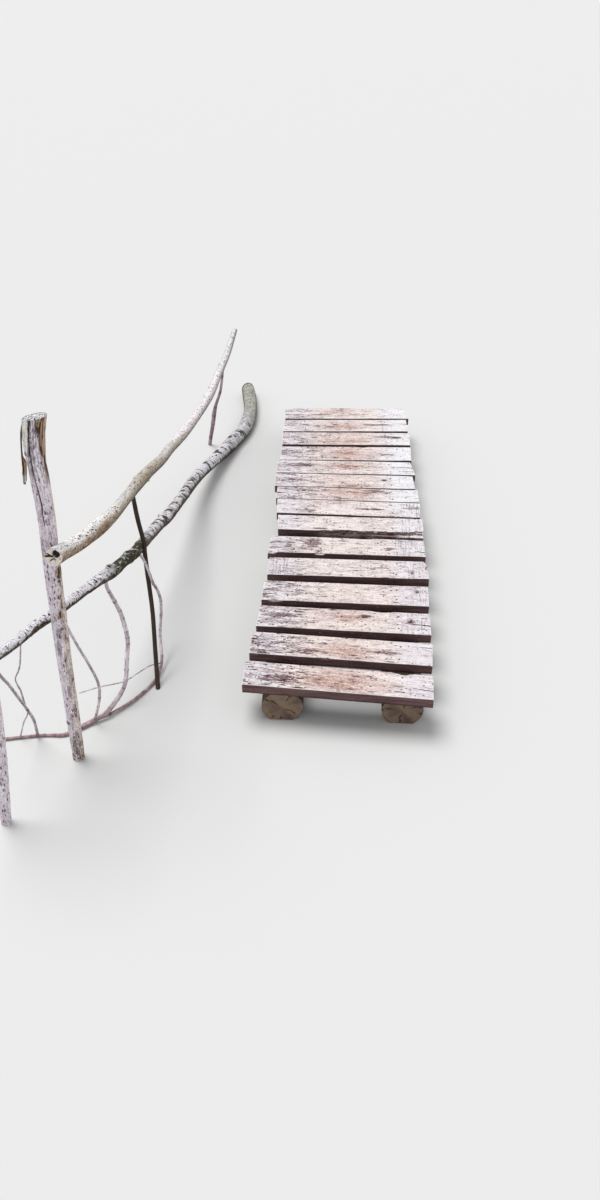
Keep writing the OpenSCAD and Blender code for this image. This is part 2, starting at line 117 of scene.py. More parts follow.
# How white each board's right part is, partly bleached and partly painted light, and how much mauve grey
# shows on its left part
BLEACHED_AND_LIT = [0.1, 0, 0.05, 0, 0.1, 0.4, 0.5, 0.7, 1, 1, 1, 1, 0.75, 0.9, 0.95]
GREYED = [0.8, 1, 0.5, 0.55, 0.2, 0.35, 0.05, 0.15, 0.75, 0.75, 0.4, 0.65, 0.5, 0.4, 0.35]
# How much soil is trodden into the middle of each
TRODDEN = [0.35, 0.3, 0.3, 0.15, 0.05, 0.1, 0.05, 0, 0.3, 0.3, 0.15, 0.45, 0.4, 0.15, 0.15]

# The hearts of the poles, as X, Y, Z and radius, as in the solids
POST_H = 1330
POST = [
    (-949.5, -206, -30, 21), (-940.5, -206, 250, 23), (-935.5, -206, 430, 23), (-927, -206, 640, 26),
    (-919, -206, 825, 26.5), (-908, -206, 990, 27), (-907, -206, 1110, 27), (-908, -206, 1190, 27.5),
    (-903, -206, 1260, 31), (-890, -206, POST_H, 35), (-886, -206, POST_H + 25, 35.5),
]
UPPER_RAIL = [
    (-879, -288, 913, 29), (-870.5, -240, 899, 28), (-851, -163, 878, 26), (-834, -72, 857, 27),
    (-823, 24, 834, 28), (-813, 162, 799, 25), (-812, 310, 762, 22), (-813, 469, 723, 22),
    (-805, 622, 698, 24), (-789, 733, 682, 23), (-769, 873, 660, 22), (-763, 1021, 636, 22),
    (-745, 1269, 590, 23), (-732, 1566, 538, 21), (-717, 1956, 486, 22), (-713, 2288, 468, 21),
    (-697, 2527, 477, 20), (-686, 2746, 499, 17), (-681, 2880, 512, 15),
]
LOWER_RAIL = [
    (-1054, -600, 726, 16), (-1013, -436, 681, 17), (-987, -271, 637, 17), (-968, -199, 618, 16.5),
    (-956, -134, 600, 17), (-931, -5, 567, 19), (-905, 109, 539, 19), (-876, 229, 508, 23),
    (-861, 303, 490, 22), (-846, 404, 464, 22), (-829, 504, 438, 24), (-823, 669, 396, 24),
    (-812, 862, 346, 25), (-797, 981, 315, 25), (-788, 1273, 242, 26.5), (-772, 1714, 137, 30),
    (-725, 2033, 71, 33), (-661, 2321, 38, 38), (-607, 2529, 38, 40), (-592, 2744, 39, 41),
    (-611, 2952, 40, 42), (-641, 3136, 40, 40),
]
RAIL_STAKE = [
    (-809, 468, 712, 8), (-807, 495, 585, 9), (-801, 522, 474, 9), (-801, 522, 417, 9),
    (-796, 505, 348, 9), (-786, 470, 293, 9), (-766, 395, 207, 9), (-746, 285, 95, 9), (-728, 190, 2, 9),
    (-724, 170, -20, 9),
]
FAR_PROP = [
    (-698, 2380, 478, 7), (-699, 2370, 450, 7), (-707, 2360, 388, 7), (-717, 2355, 336, 7.5),
    (-744, 2355, 260, 9), (-758, 2360, 205, 12), (-771, 2365, 130, 11), (-787, 2370, 51, 10),
    (-798, 2375, -10, 10),
]
NEAR_PROP = [
    (-1042, -522, 715, 15), (-1046, -522, 640, 15), (-1056, -521, 500, 16), (-1074, -519, 330, 17),
    (-1098, -518, 150, 17), (-1120, -518, -10, 18),
]
BRANCH = {
    "stem": [
        (-1330, -152, 6, 5), (-1242, -132, 6, 6), (-1132, -109, 6, 6), (-1081, -103, 6, 6),
        (-1023, -98, 7, 7), (-968, -55, 11, 9),
    ],
    "fork_a": [
        (-930, -24, 16, 5), (-914, -33, 64, 5), (-899, -25, 122, 5), (-892, -30, 202, 5),
        (-906, -60, 320, 5), (-925, -80, 409, 5), (-945, -100, 514, 4.5), (-954, -117, 590, 4.5),
    ],
    "fork_b": [
        (-968, -55, 11, 9), (-930, -22, 14, 9), (-890, 10, 26, 9), (-852, 80, 52, 9),
        (-833, 120, 94, 8.5), (-831, 170, 160, 8.5), (-827, 200, 234, 8.5), (-844, 225, 318, 8),
        (-858, 225, 372, 7.5), (-880, 218, 447, 7), (-885, 214, 492, 6.5),
    ],
    "fork_c": [
        (-930, -22, 13, 6), (-875, 20, 12, 6), (-809, 100, 9, 6), (-750, 210, 8, 6), (-735, 280, 15, 6),
        (-735, 340, 36, 6), (-751, 420, 94, 6), (-755, 510, 170, 6), (-759.5, 500, 248, 6),
        (-771, 480, 301, 6), (-778, 470, 350, 5.5), (-793.5, 478, 400, 5.5), (-808, 484, 426.5, 5.5),
        (-814, 487, 438, 5.5),
    ],
    "fork_d": [
        (-1126, -108, 8, 6), (-1120, -120, 40, 5), (-1109, -150, 123, 5), (-1107, -190, 211, 5),
        (-1102, -250, 320, 5), (-1091, -320, 433, 5), (-1075, -400, 542, 5), (-1050, -480, 660, 4.5),
        (-1033, -492, 692, 4.5),
    ],
    "twig_d": [
        (-1106, -200, 236, 3), (-1098, -222, 290, 3), (-1092, -240, 338, 3), (-1088, -270, 414, 2.5),
        (-1062, -290, 470, 2.5), (-1041, -310, 524, 2.5), (-1008, -350, 640, 2.5),
        (-1004, -360, 662, 2.5),
    ],
    "twig_stem": [
        (-1107, -188, 209, 2.5), (-1128, -150, 148, 2.5), (-1158, -130, 88, 2.5), (-1187, -119, 8, 2.5),
    ],
    "twig_c": [
        (-740, 312, 24, 2.5), (-775, 250, 55, 2.5), (-835, 118, 92, 2.5), (-905, 20, 142, 2.5),
        (-965, -42, 163, 2),
    ],
}
# Stubs of side branches: place along the route, turn in degrees, height and radius
UPPER_STUBS = [
    (5.1, 25, 2, 5), (7.75, 130, 4, 6), (8.1, -20, 4, 6), (13.9, 150, 5, 8), (14.3, 150, 4, 7),
    (15.5, 170, 3, 6),
]
LOWER_STUBS = [
    (6.2, 60, 3, 6), (7.3, 110, 5, 9), (7.8, 20, 4, 8), (10.2, 100, 5, 9), (12.9, 160, 9, 6),
    (14.2, 0, 4, 9), (17.5, 40, 5, 10),
]
POST_STUBS = [
    (0.75, -60, 2, 9), (1.7, 205, 1.5, 8), (2.8, -120, 1.5, 7), (5.3, 250, 2, 7), (7.4, -50, 1.5, 6),
]
# Cracks in the upper rail's near end, across it: from X and Y to X and Y, half width and depth
UPPER_CRACKS = [
    (-5, 0.5, -31, -1, 2.7, 12), (-10, 3, -30, 10, 1.7, 12), (-11, -13.5, -1, -6, 1.8, 8),
    (-1, -6, 5, -9, 1.2, 8), (1, -2, 9, -9, 0.9, 3), (17, -1, 24, -6, 0.9, 3),
]
# Cracks in the bearers' ends: turn in radians, how far from the heart they start, and half width
BEARER_CRACKS = [(0.4, 4, 1.4), (2.1, 25, 1), (3.6, 12, 1.2), (5.1, 40, 0.8), (5.6, 30, 1)]
# The post's drying crack from its foot up: height, turn from +X, and half width
CRACK = [
    (985, -92, 0), (1000, -92, 0.9), (1028, -93.5, 1.2), (1059, -89, 1.6), (1079, -93, 1.9),
    (1101, -96.5, 2.2), (1120, -101, 2.3), (1142, -104.5, 2.3), (1165, -106, 2.4), (1189, -104.5, 2.4),
    (1218, -105, 2.4), (1245, -103.5, 2.3), (1272, -103.5, 2), (1310, -102, 1.8), (1333, -100.5, 1.8),
]
# A strip of loose bark that hangs from the post, as X, Y, Z and half width
LOOSE_BARK = [
    (-952, -214, 1117, 4.5), (-946.5, -214, 1149, 6), (-941.5, -214, 1184, 6), (-944, -214, 1203, 3.5),
    (-943, -214, 1219, 2.5), (-938, -213, 1257, 2.5), (-932, -213, 1288, 2.5), (-922, -212, 1318, 3),
]
# What shows on the post's skin: height, turn from +X, half length and half width
POST_SCRAPS = [
    (1330, -28, 62, 30), (1262, -18, 66, 17), (1180, -8, 60, 8), (812, -22, 24, 16), (775, -34, 14, 5),
    (722, -42, 9, 9), (694, -36, 20, 5), (656, -56, 15, 8), (590, -28, 8, 3), (560, -40, 10, 4),
]
POST_STAINS = [
    (575, -84, 30, 12), (520, -98, 42, 9), (1000, -70, 16, 7), (950, -62, 20, 5), (905, -128, 40, 8),
    (470, -60, 40, 7), (330, -70, 30, 6), (1262, -62, 14, 4), (1300, -72, 9, 6), (190, -84, 50, 7),
    (240, -40, 40, 8), (90, -70, 70, 16),
]


# Shapes

SCRAMBLE = np.array([374761393, 668265263, 1274126177])  # odd numbers that scramble a cell's place
SEED_SCRAMBLE = 974634777


def noise(p, seed):
    """Smooth noise from -1 to 1 at points of three columns, one cell a unit."""
    cell = np.floor(p).astype(np.int64)
    f = p - cell
    f = f * f * (3 - 2 * f)
    total = np.zeros(len(p))
    for corner in np.ndindex(2, 2, 2):
        h = ((cell + corner) @ SCRAMBLE + seed * SEED_SCRAMBLE) & 0xFFFFFFFF
        h = ((h ^ (h >> 13)) * SCRAMBLE[2]) & 0xFFFFFFFF
        h ^= h >> 16
        total += np.prod(np.where(corner, f, 1 - f), axis=1) * (h / 2**31 - 1)
    return total


def noise_at(x, y, z, seed):
    """noise() for arrays of any one shape."""
    x, y, z = np.broadcast_arrays(np.asarray(x, float), y, z)
    return noise(np.stack([x.ravel(), y.ravel(), z.ravel()], 1), seed).reshape(x.shape)


def step(low, high, x):
    """0 below low, 1 above high and smooth between, or the other way round where low is the higher."""
    t = np.clip((x - low) / (high - low), 0, 1)
    return t * t * (3 - 2 * t)


def unit(v):
    return v / np.linalg.norm(v, axis=-1, keepdims=True)


def add_object(name, data):
    added = bpy.data.objects.new(name, data)
    bpy.context.scene.collection.objects.link(added)
    return added


def make_piece(name, mesh, material, replaced, against=(), sharp=35):
    """Makes a piece from points in millimetres, faces and vectors, and lets it stand for its node.

    It is notched to the routes against it. It stays in the solids' box, so it is flat on the ground.
    """
    points, faces, vectors = mesh
    for route in against:
        push_out(points, route)
    data = bpy.data.meshes.new(name)
    data.from_pydata(np.clip((points + HOME) * MM, cad_low, cad_high).tolist(), [], faces)
    data.validate()
    data.update()
    for label, values in vectors.items():
        layer = data.attributes.new(label, "FLOAT_VECTOR", "POINT")
        layer.data.foreach_set("vector", np.ascontiguousarray(values, np.float32).ravel())
    data.polygons.foreach_set("use_smooth", np.ones(len(data.polygons), bool))
    data.set_sharp_from_angle(angle=math.radians(sharp))
    data.materials.append(material)
    piece = add_object(name, data)
    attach(piece, "root")
    if replaced:
        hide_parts(replaced)


def quads(sheet, flip=False):
    """The four-sided faces of a sheet of point numbers."""
    a, b, c, d = sheet[:-1, :-1], sheet[1:, :-1], sheet[1:, 1:], sheet[:-1, 1:]
    order = (a, d, c, b) if flip else (a, b, c, d)
    return np.stack([k.ravel() for k in order], 1).tolist()


def tube(rings, flip=False):
    """The faces between closed rings of point numbers."""
    return quads(np.hstack([rings, rings[:, :1]]), flip)


def fan(ring, middle, flip=False):
    """The triangles between a closed ring of point numbers and one in its middle."""
    pair = (np.roll(ring, -1), ring) if flip else (ring, np.roll(ring, -1))
    return np.stack([*pair, np.full(len(ring), middle)], 1).tolist()


def join(parts):
    """Several meshes of points, faces and vectors as one."""
    faces, start = [], 0
    for points, own_faces, _ in parts:
        faces += [[start + k for k in face] for face in own_faces]
        start += len(points)
    vectors = {label: np.concatenate([own[label] for _, _, own in parts]) for label in parts[0][2]}
    return np.concatenate([points for points, _, _ in parts]), faces, vectors


# Boards

def board_y(i):
    widths = [BOARD_W + wider for wider in WIDER_BY]
    return sum(widths[:i]) + sum(GAP_AFTER[:i]) + widths[i] / 2


def on_deck(i, x, y):
    """X and Y of points of a board, turned and moved with it."""
    turn = math.radians(TURNED_BY[i])
    across = x * math.cos(turn) - y * math.sin(turn) + MOVED_BY[i]
    return across, x * math.sin(turn) + y * math.cos(turn) + board_y(i)


def rows(table, i):
    """A table's rows for one board, without the board's number."""
    return [row[1:] for row in table if row[0] == i]


def spots(table, i, x, y):
    """How far inside the board's oval spots each point lies: 1 in a middle, 0 a little outside."""
    value = np.zeros(len(x))
    for middle_x, middle_y, half_l, half_w in rows(table, i):
        away = np.hypot((x - middle_x) / half_l, (y - middle_y) / half_w)
        value = np.maximum(value, np.clip(1 - away / 1.25, 0, 1))
    return value


def block(xs, ys, zs):
    """The surface of a block with grid lines at xs, ys and zs. Its underside is one flat face."""
    skin = np.zeros((len(xs), len(ys), len(zs)), bool)
    skin[[0, -1]] = True
    skin[:, [0, -1]] = True
    skin[:, :, -1] = True
    index = np.full(skin.shape, -1)
    index[skin] = np.arange(skin.sum())
    grid = np.stack(np.meshgrid(xs, ys, zs, indexing="ij"), -1)[skin]
    faces = quads(index[:, :, -1]) + quads(index[:, 0]) + quads(index[:, -1], True)
    faces += quads(index[0], True) + quads(index[-1])
    under = index[:, :, 0]
    faces.append([*under[0, :-1], *under[:-1, -1], *under[-1, :0:-1], *under[:0:-1, 0]])
    return grid, faces


def board_grid(half_w, split_ys):
    """A block with X from -1 to 1, Y in millimetres and Z from 0 to 1, fine at edges and splits."""
    from_edge = [0, 0.8, 1.8, 3, 4.5, 6.5]
    ys = [-half_w + d for d in from_edge] + [half_w - d for d in from_edge]
    ys += list(np.arange(-half_w + 9.5, half_w - 8, 3.6))
    for split_y in split_ys:
        ys = [y for y in ys if abs(y - split_y) > 2.6 or half_w - abs(y) < 7]
        ys += [split_y + d for d in (-2.2, -1.3, -0.6, 0, 0.6, 1.3, 2.2)]
    zs = [0, 0.16, 0.32, 0.46, 0.572, 0.595, 0.7, 0.82, 0.93, 1]
    return block(np.linspace(-1, 1, 206), sorted(ys), zs)


def make_board(i, material):
    """A board: a sawn block whose skin is worn, split, chipped and raised along its grain."""
    length, width = BOARD_L + LONGER_BY[i], BOARD_W + WIDER_BY[i]
    half_w = width / 2
    splits = rows(SPLITS, i)
    grid, faces = board_grid(half_w, [split_y for _, split_y, _, _ in splits])
    x0, y0, z0 = grid.T
    own = 7.31 * (i + 1)  # the board's own place in the noise

    # The ends were never sawn quite square, and one is broken
    rough_end = 0.5 * noise_at(y0 / 3, z0 * 12, own, 1) + 0.5 * noise_at(y0 / 11, z0 * 4, own, 2)
    left = -length / 2 - LEFT_SKEW[i] * y0 / width + 0.7 + rough_end * 0.7
    right = length / 2 - RIGHT_SKEW[i] * y0 / width - 0.7 - rough_end * 0.7
    if i == BROKEN_BOARD:
        broken = np.interp(y0, *zip(*BROKEN_END)) - 3 - 3 * noise_at(y0 / 3.5, z0 * 5, own, 3)
        right = np.where(y0 > BROKEN_END[0][0], np.minimum(right, broken), right)
    x = left + (right - left) * (x0 + 1) / 2
    to_end = np.minimum(x - left, right - x)

    # The long edges wander a little. A torn edge with its lower ledge, or a knot, moves them more.
    from_near, from_far = y0 + half_w, half_w - y0
    wander = 0.6 + 0.35 * noise_at(x / 90, own, z0, 4) + 0.25 * noise_at(x / 17, own, z0 * 3, 5)
    y = y0 + wander * np.exp(-(from_near / 15) ** 2) - wander * np.exp(-(from_far / 15) ** 2)
    if i == LEDGE_BOARD:
        torn = 0.9 + 0.4 * noise_at(x / 30, own, z0 * 3, 6) + 0.35 * noise_at(x / 11, own, z0 * 9, 6)
        torn += 0.3 * noise_at(x / 4.5, own, z0 * 14, 6)
        gone = np.interp(x, *zip(*LEDGE_BREAK)) * torn
        out = np.interp(x, *zip(*LEDGE_EDGE)) * (0.9 + 0.1 * noise_at(x / 14, own, 0, 7))
        y += np.where(z0 > 0.58, gone, -out) * np.exp(-(from_near / 18) ** 2)
    if i == KNOT_BOARD:
        swell = np.sqrt(np.clip(1 - ((x - KNOT_X) / (KNOT_L / 2)) ** 2, 0, 1))
        y -= KNOT_OUT * swell * (z0 < 0.99) * np.exp(-(from_near / 14) ** 2)

    # Splits: the grid lines beside each are drawn along it
    deep = np.zeros(len(x))
    for end, split_y, split_l, mouth in splits:
        inward = np.clip((length / 2 - end * x) / split_l, 0, 2)
        drift = 2 * mouth * np.minimum(inward, 1) + 0.8 * noise_at(x / 16, own, 3, 8) * (inward < 1)
        y += drift * np.exp(-((y0 - split_y) / 13) ** 2)
        gape = (mouth / 2 + 0.3) * np.clip(1 - inward, 0, 1) ** 0.7
        inside = np.clip(1 - np.abs(y0 - split_y) / (gape + 0.35), 0, 1) * (inward < 1)
        deep = np.maximum(deep, np.sqrt(inside) * (0.3 + 0.5 * np.clip(1 - inward, 0, 1)))

    # Height of the skin above the underside: raised grain, wear, knots, chips and worn arrises
    grain = noise_at(x / 120, y / 4.5, own, 9) + 0.6 * noise_at(x / 45, y / 2.2, own, 10)
    hollow = noise_at(x / 140, y / 50, own, 11)
    knot = spots(KNOTS, i, x, y)
    sawn = np.zeros(len(x))
    for middle, half_l in rows(SAWN, i):
        sawn = np.maximum(sawn, step(1, 0.55, np.abs(x - middle) / half_l))
    ripple = sawn * np.cos(2 * math.pi * (x + 0.0022 * y0**2) / 7.2)
    low = 0.9 - 0.35 * grain - 0.4 * hollow + 0.25 * ripple
    low -= 0.5 * step(0, 0.5, knot) * (z0 > 0.99)
    top = BOARD_T - np.clip(low, 0, 3)
    for middle, edge, chip_l, chip_w, chip_d in rows(CHIPS, i):
        away = from_near if edge < 0 else from_far
        along_it = np.clip(1 - (2 * (x - middle) / chip_l) ** 2, 0, 1) ** 0.6
        reach = chip_w * along_it * (1 + 0.35 * noise_at(x / 12, own, 5, 12)) + 0.01
        gone = chip_d * along_it * np.clip(1.15 - away / reach, 0, 1)
        top -= gone * (1 + 0.2 * noise_at(x / 5, y / 5, own, 13))
    arris = ARRIS_R * (0.85 + 0.3 * noise_at(x / 70, own, 9, 14))
    for away, r in ((from_near, arris), (from_far, arris), (to_end, 1.6)):
        d = np.clip(r - away, 0, r)
        top -= r - np.sqrt(r * r - d * d)
    top -= deep * BOARD_T
    z = z0 * top + (1 - z0) * z0 * 0.8 * noise_at(x / 40, own, z0 * 6, 15)

    # Marks for the material. On a side face, a knot's mark stands for pale torn fibres.
    if i == LEDGE_BOARD:
        knot = np.where((z0 < 0.99) & (from_near < 30), step(-200, -120, x), knot)
    soil = spots(SOIL, i, x, y) * 0.9 + TRODDEN[i] * np.exp(-(x / 160) ** 2)
    # The whiter right part: partly bleaching, partly painted light.
    bleach_and_light = BLEACHED_AND_LIT[i] * step(110, 310, x + 25 * noise_at(x / 60, y / 25, own, 16))
    grey = GREYED[i] * step(-20, -260, x + 60 * noise_at(x / 80, y / 25, own, 17))
    vectors = {
        "skin": np.stack([x * MM + 2.3 * i, y * MM + 0.9 * i, z * MM], 1),
        "tone": np.stack([soil, bleach_and_light, spots(STAINS, i, x, y)], 1),
        # The splits' depth, which the material paints near black as painted shade.
        "mark": np.stack([knot, np.clip(deep * 3, 0, 1), sawn], 1),
        "body": np.stack([grey, np.clip(z / BOARD_T, 0, 1), np.clip(to_end / 200, 0, 1)], 1),
    }
    points = np.stack([*on_deck(i, x, y), z + BEARER_H], 1)
    name = f"plank_{i + 1:02d}"
    make_piece(name + "_worn", (points, faces, vectors), material, name)


def make_nails(material):
    """Two rusty nail heads where each board crosses a bearer."""
    sides, top_z, foot_z, sunk = 14, 1.2, -9, 1.2
    profile = ((2.2, 1.1), (3.6, 0.7), (4.2, 0), (3.9, -0.8), (1.9, -1), (1.7, foot_z))
    angle = np.linspace(0, 2 * math.pi, sides, endpoint=False)
    rings = [(r * math.cos(a), r * math.sin(a), z) for r, z in profile for a in angle]
    nail = np.array([(0, 0, top_z), *rings, (0, 0, foot_z)])
    wrap = 1 + np.arange(len(rings)).reshape(-1, sides)
    faces = tube(wrap) + fan(wrap[0], 0) + fan(wrap[-1], len(nail) - 1, True)
    parts = []
    for i in range(BOARDS):
        for side in (-1, 1):
            for edge in (-1, 1):
                shift = noise_at([i * 3.7, i * 3.7 + 40], side * 1.9, edge * 2.7, 71)
                x = side * BEARER_OUT - MOVED_BY[i] + 14 * shift[0]
                y = edge * (BOARD_W + WIDER_BY[i]) * 0.27 + 8 * shift[1]
                points = nail + (*on_deck(i, x, y), BEARER_H + BOARD_T - sunk)
                parts.append((points, faces, {"skin": points * MM}))
    make_piece("nail_heads", join(parts), material, None)


# Poles

def along(route, s):
    """Points and radii of the smooth curve through a route at places s, as the solids have it."""
    r = np.array(route, float)
    r = np.vstack([2 * r[0] - r[1], r, 2 * r[-1] - r[-2]])
    i = np.minimum(s.astype(int), len(route) - 2)
    t = (s - i)[:, None]
    a, b, c, d = r[i], r[i + 1], r[i + 2], r[i + 3]
    bend = (2 * a - 5 * b + 4 * c - d) * t**2 / 2 + (3 * b - a - 3 * c + d) * t**3 / 2
    return b + (c - a) * t / 2 + bend


def place_at_height(route, z, first):
    """The place on a route, less than one point's step past the first, where its heart is at a height."""
    s = np.linspace(first, first + 1, 2000)
    return float(s[np.argmin(np.abs(along(route, s)[:, 2] - z))])


def push_out(points, route, slack=0.15):
    """Moves points that lie inside another pole out to its skin, as if notched to it."""
    line = along(route, np.linspace(0, len(route) - 1, 30 * (len(route) - 1)))
    low, high = line[:, :3].min(0) - 50, line[:, :3].max(0) + 50
    near = np.where(((points > low) & (points < high)).all(1))[0]
    for some in np.array_split(near, max(1, len(near) // 4000)):
        gaps = np.linalg.norm(points[some, None] - line[None, :, :3], axis=2)
        best = (gaps - line[None, :, 3]).argmin(1)
        heart, reach = line[best, :3], line[best, 3] + slack
        away = points[some] - heart
        gap = np.maximum(np.linalg.norm(away, axis=1), 0.01)
        inside = gap < reach
        points[some[inside]] = (heart + away * (reach / gap)[:, None])[inside]


def even(sides):
    return [360 * k / sides for k in range(sides)]


class Pole:
    """A pole's skin as rings round its heart, kept unrolled so that relief and marks follow it.

    Each ring has its place u along the pole in millimetres, s along the route, and height z. The
    marks are bare wood, deep, which most materials paint dark as painted shade in cracks and
    hollows, and one for the material, and the three tones are for the material.
    """

    def __init__(self, route, spacing, angles, up=(0, 0, 1), uneven=0.03, stretch=None):
        first, last = stretch or (0, len(route) - 1)
        fine = np.linspace(first, last, int(60 * (last - first)) + 2)
        line = along(route, fine)[:, :3]
        run = np.concatenate([[0], np.cumsum(np.linalg.norm(np.diff(line, axis=0), axis=1))])
        u = np.linspace(0, run[-1], max(3, int(run[-1] / spacing)) + 1)
        s = np.interp(u, run, fine)
        end = len(route) - 1
        ahead = along(route, np.minimum(s + 0.05, end)) - along(route, np.maximum(s - 0.05, 0))
        self.heart, radius = np.split(along(route, s), [3], axis=1)
        self.u, self.s, self.z = u[:, None], s[:, None], self.heart[:, 2:]
        self.ahead = unit(ahead[:, :3])
        self.right = unit(np.cross(self.ahead, up))
        self.top = np.cross(self.right, self.ahead)
        self.angles = np.array(sorted(a % 360 for a in angles), float)
        self.turns = np.radians(self.angles)
        a, b = self.turns, np.radians(self.s)
        lobes = np.sin(2 * a + 70 * b) + 0.6 * np.sin(3 * a - 110 * b) + 0.5 * np.sin(200 * b)
        self.plain = radius * (1 + uneven * lobes)
        self.radius = self.plain.copy()
        self.x, self.y = self.plain * np.cos(a), self.plain * np.sin(a)
        self.marks, self.tones = np.zeros((2, *self.plain.shape, 3))
        self.cuts = []

    def noise(self, across, seed, length=None):
        """Noise on the skin, with cells of one size across and another along the pole."""
        return noise_at(self.u / (length or across), self.x / across, self.y / across, seed)

    def across(self, turn):
        """How far each point lies from an angle, round the pole."""
        return np.radians((self.angles - turn + 180) % 360 - 180) * self.plain

    def patches(self, table):
        """1 on patches of the skin, given by height, turn from +X, half length and half width, else 0."""
        value = np.zeros(self.radius.shape)
        for z, turn, half_l, half_w in table:
            away = np.hypot((self.z - z) / half_l, self.across(180 - turn) / half_w)
            value = np.maximum(value, step(1.25, 0.75, away))
        return value

    def knuckles(self, gap, shift):
        """1 at the rings so far apart where a thin pole swells, and 0 between them."""
        return (0.5 + 0.5 * np.cos(2 * math.pi * (self.u / gap + shift))) ** 8

    def add_stubs(self, table):
        """Swells the skin into the stub of each side branch, broken off flat."""
        for s, turn, height, r in table:
            away_along = self.u - np.interp(s, self.s[:, 0], self.u[:, 0])
            away = np.hypot(away_along / 1.15, self.across(turn)) / r
            self.radius += height * (step(1.4, 0.85, away) - 0.4 * step(0.65, 0.2, away))
            self.radius += 0.15 * r * np.exp(-(away / 2) ** 2)
            self.marks[..., 0] = np.maximum(self.marks[..., 0], 0.9 * step(0.95, 0.75, away))

    def cut(self, end, slope=(0, 0), reach=70):
        """Cuts an end (0 or 1) along a plane of that slope instead of square to the pole."""
        self.cuts.append((end, np.array([*slope, -1.0]), reach))

    def ring_points(self, ring, x, y, sunk=0):
        """Points of a ring, from their places across it, which slide along the pole for the cuts."""
        offset = np.outer(x, self.right[ring]) + np.outer(y, self.top[ring])
        for end, plane, reach in self.cuts:
            share = np.clip(1 - abs(self.u[ring] - self.u[-end]) / reach, 0, 1)
            sunk = sunk - share * (offset @ plane) / (self.ahead[ring] @ plane)
        return self.heart[ring] + offset + np.outer(sunk, self.ahead[ring])

    def mesh(self, inset=None, cap_rings=(0.95, 0.84, 0.68, 0.5, 0.3, 0.12)):
        """Points, faces and vectors of the whole pole. inset(end, x, y) sinks its sawn ends."""
        rings, sides = self.radius.shape
        x, y = self.radius * np.cos(self.turns), self.radius * np.sin(self.turns)
        body = np.array([self.ring_points(k, x[k], y[k]) for k in range(rings)])
        skin = np.stack([np.broadcast_to(self.u, self.x.shape), self.x, self.y], -1)
        table = [np.dstack([body, skin, self.marks, self.tones]).reshape(-1, 12)]
        wrap = np.arange(rings * sides).reshape(rings, sides)
        faces = tube(wrap)
        count = rings * sides
        for end in (0, 1):
            ring = -end
            outer = wrap[ring]
            for share in (*cap_rings, 0):
                kept = sides if share else 1
                x, y = self.x[ring, :kept] * share, self.y[ring, :kept] * share
                sunk = inset(end, x, y) if inset else np.zeros(kept)
                table.append(np.column_stack([
                    self.ring_points(ring, x, y, sunk * (1 - 2 * end)),
                    np.full(kept, self.u[ring]), x, y,
                    # The deeper an end is sunk, the darker it is marked, for painted shade in its hollows.
                    np.ones(kept), np.clip(sunk / 8, 0, 1), np.zeros(kept),
                    np.tile(self.tones[ring].mean(0), (kept, 1)),
                ]))
                inner = np.arange(count, count + kept)
                count += kept
                faces += tube(np.stack([outer, inner]), not end) if share else fan(outer, inner[0], end)
                outer = inner
        points, skin, mark, tone = np.split(np.vstack(table), 4, axis=1)
        return points, faces, {"skin": skin * MM, "mark": mark, "tone": tone}


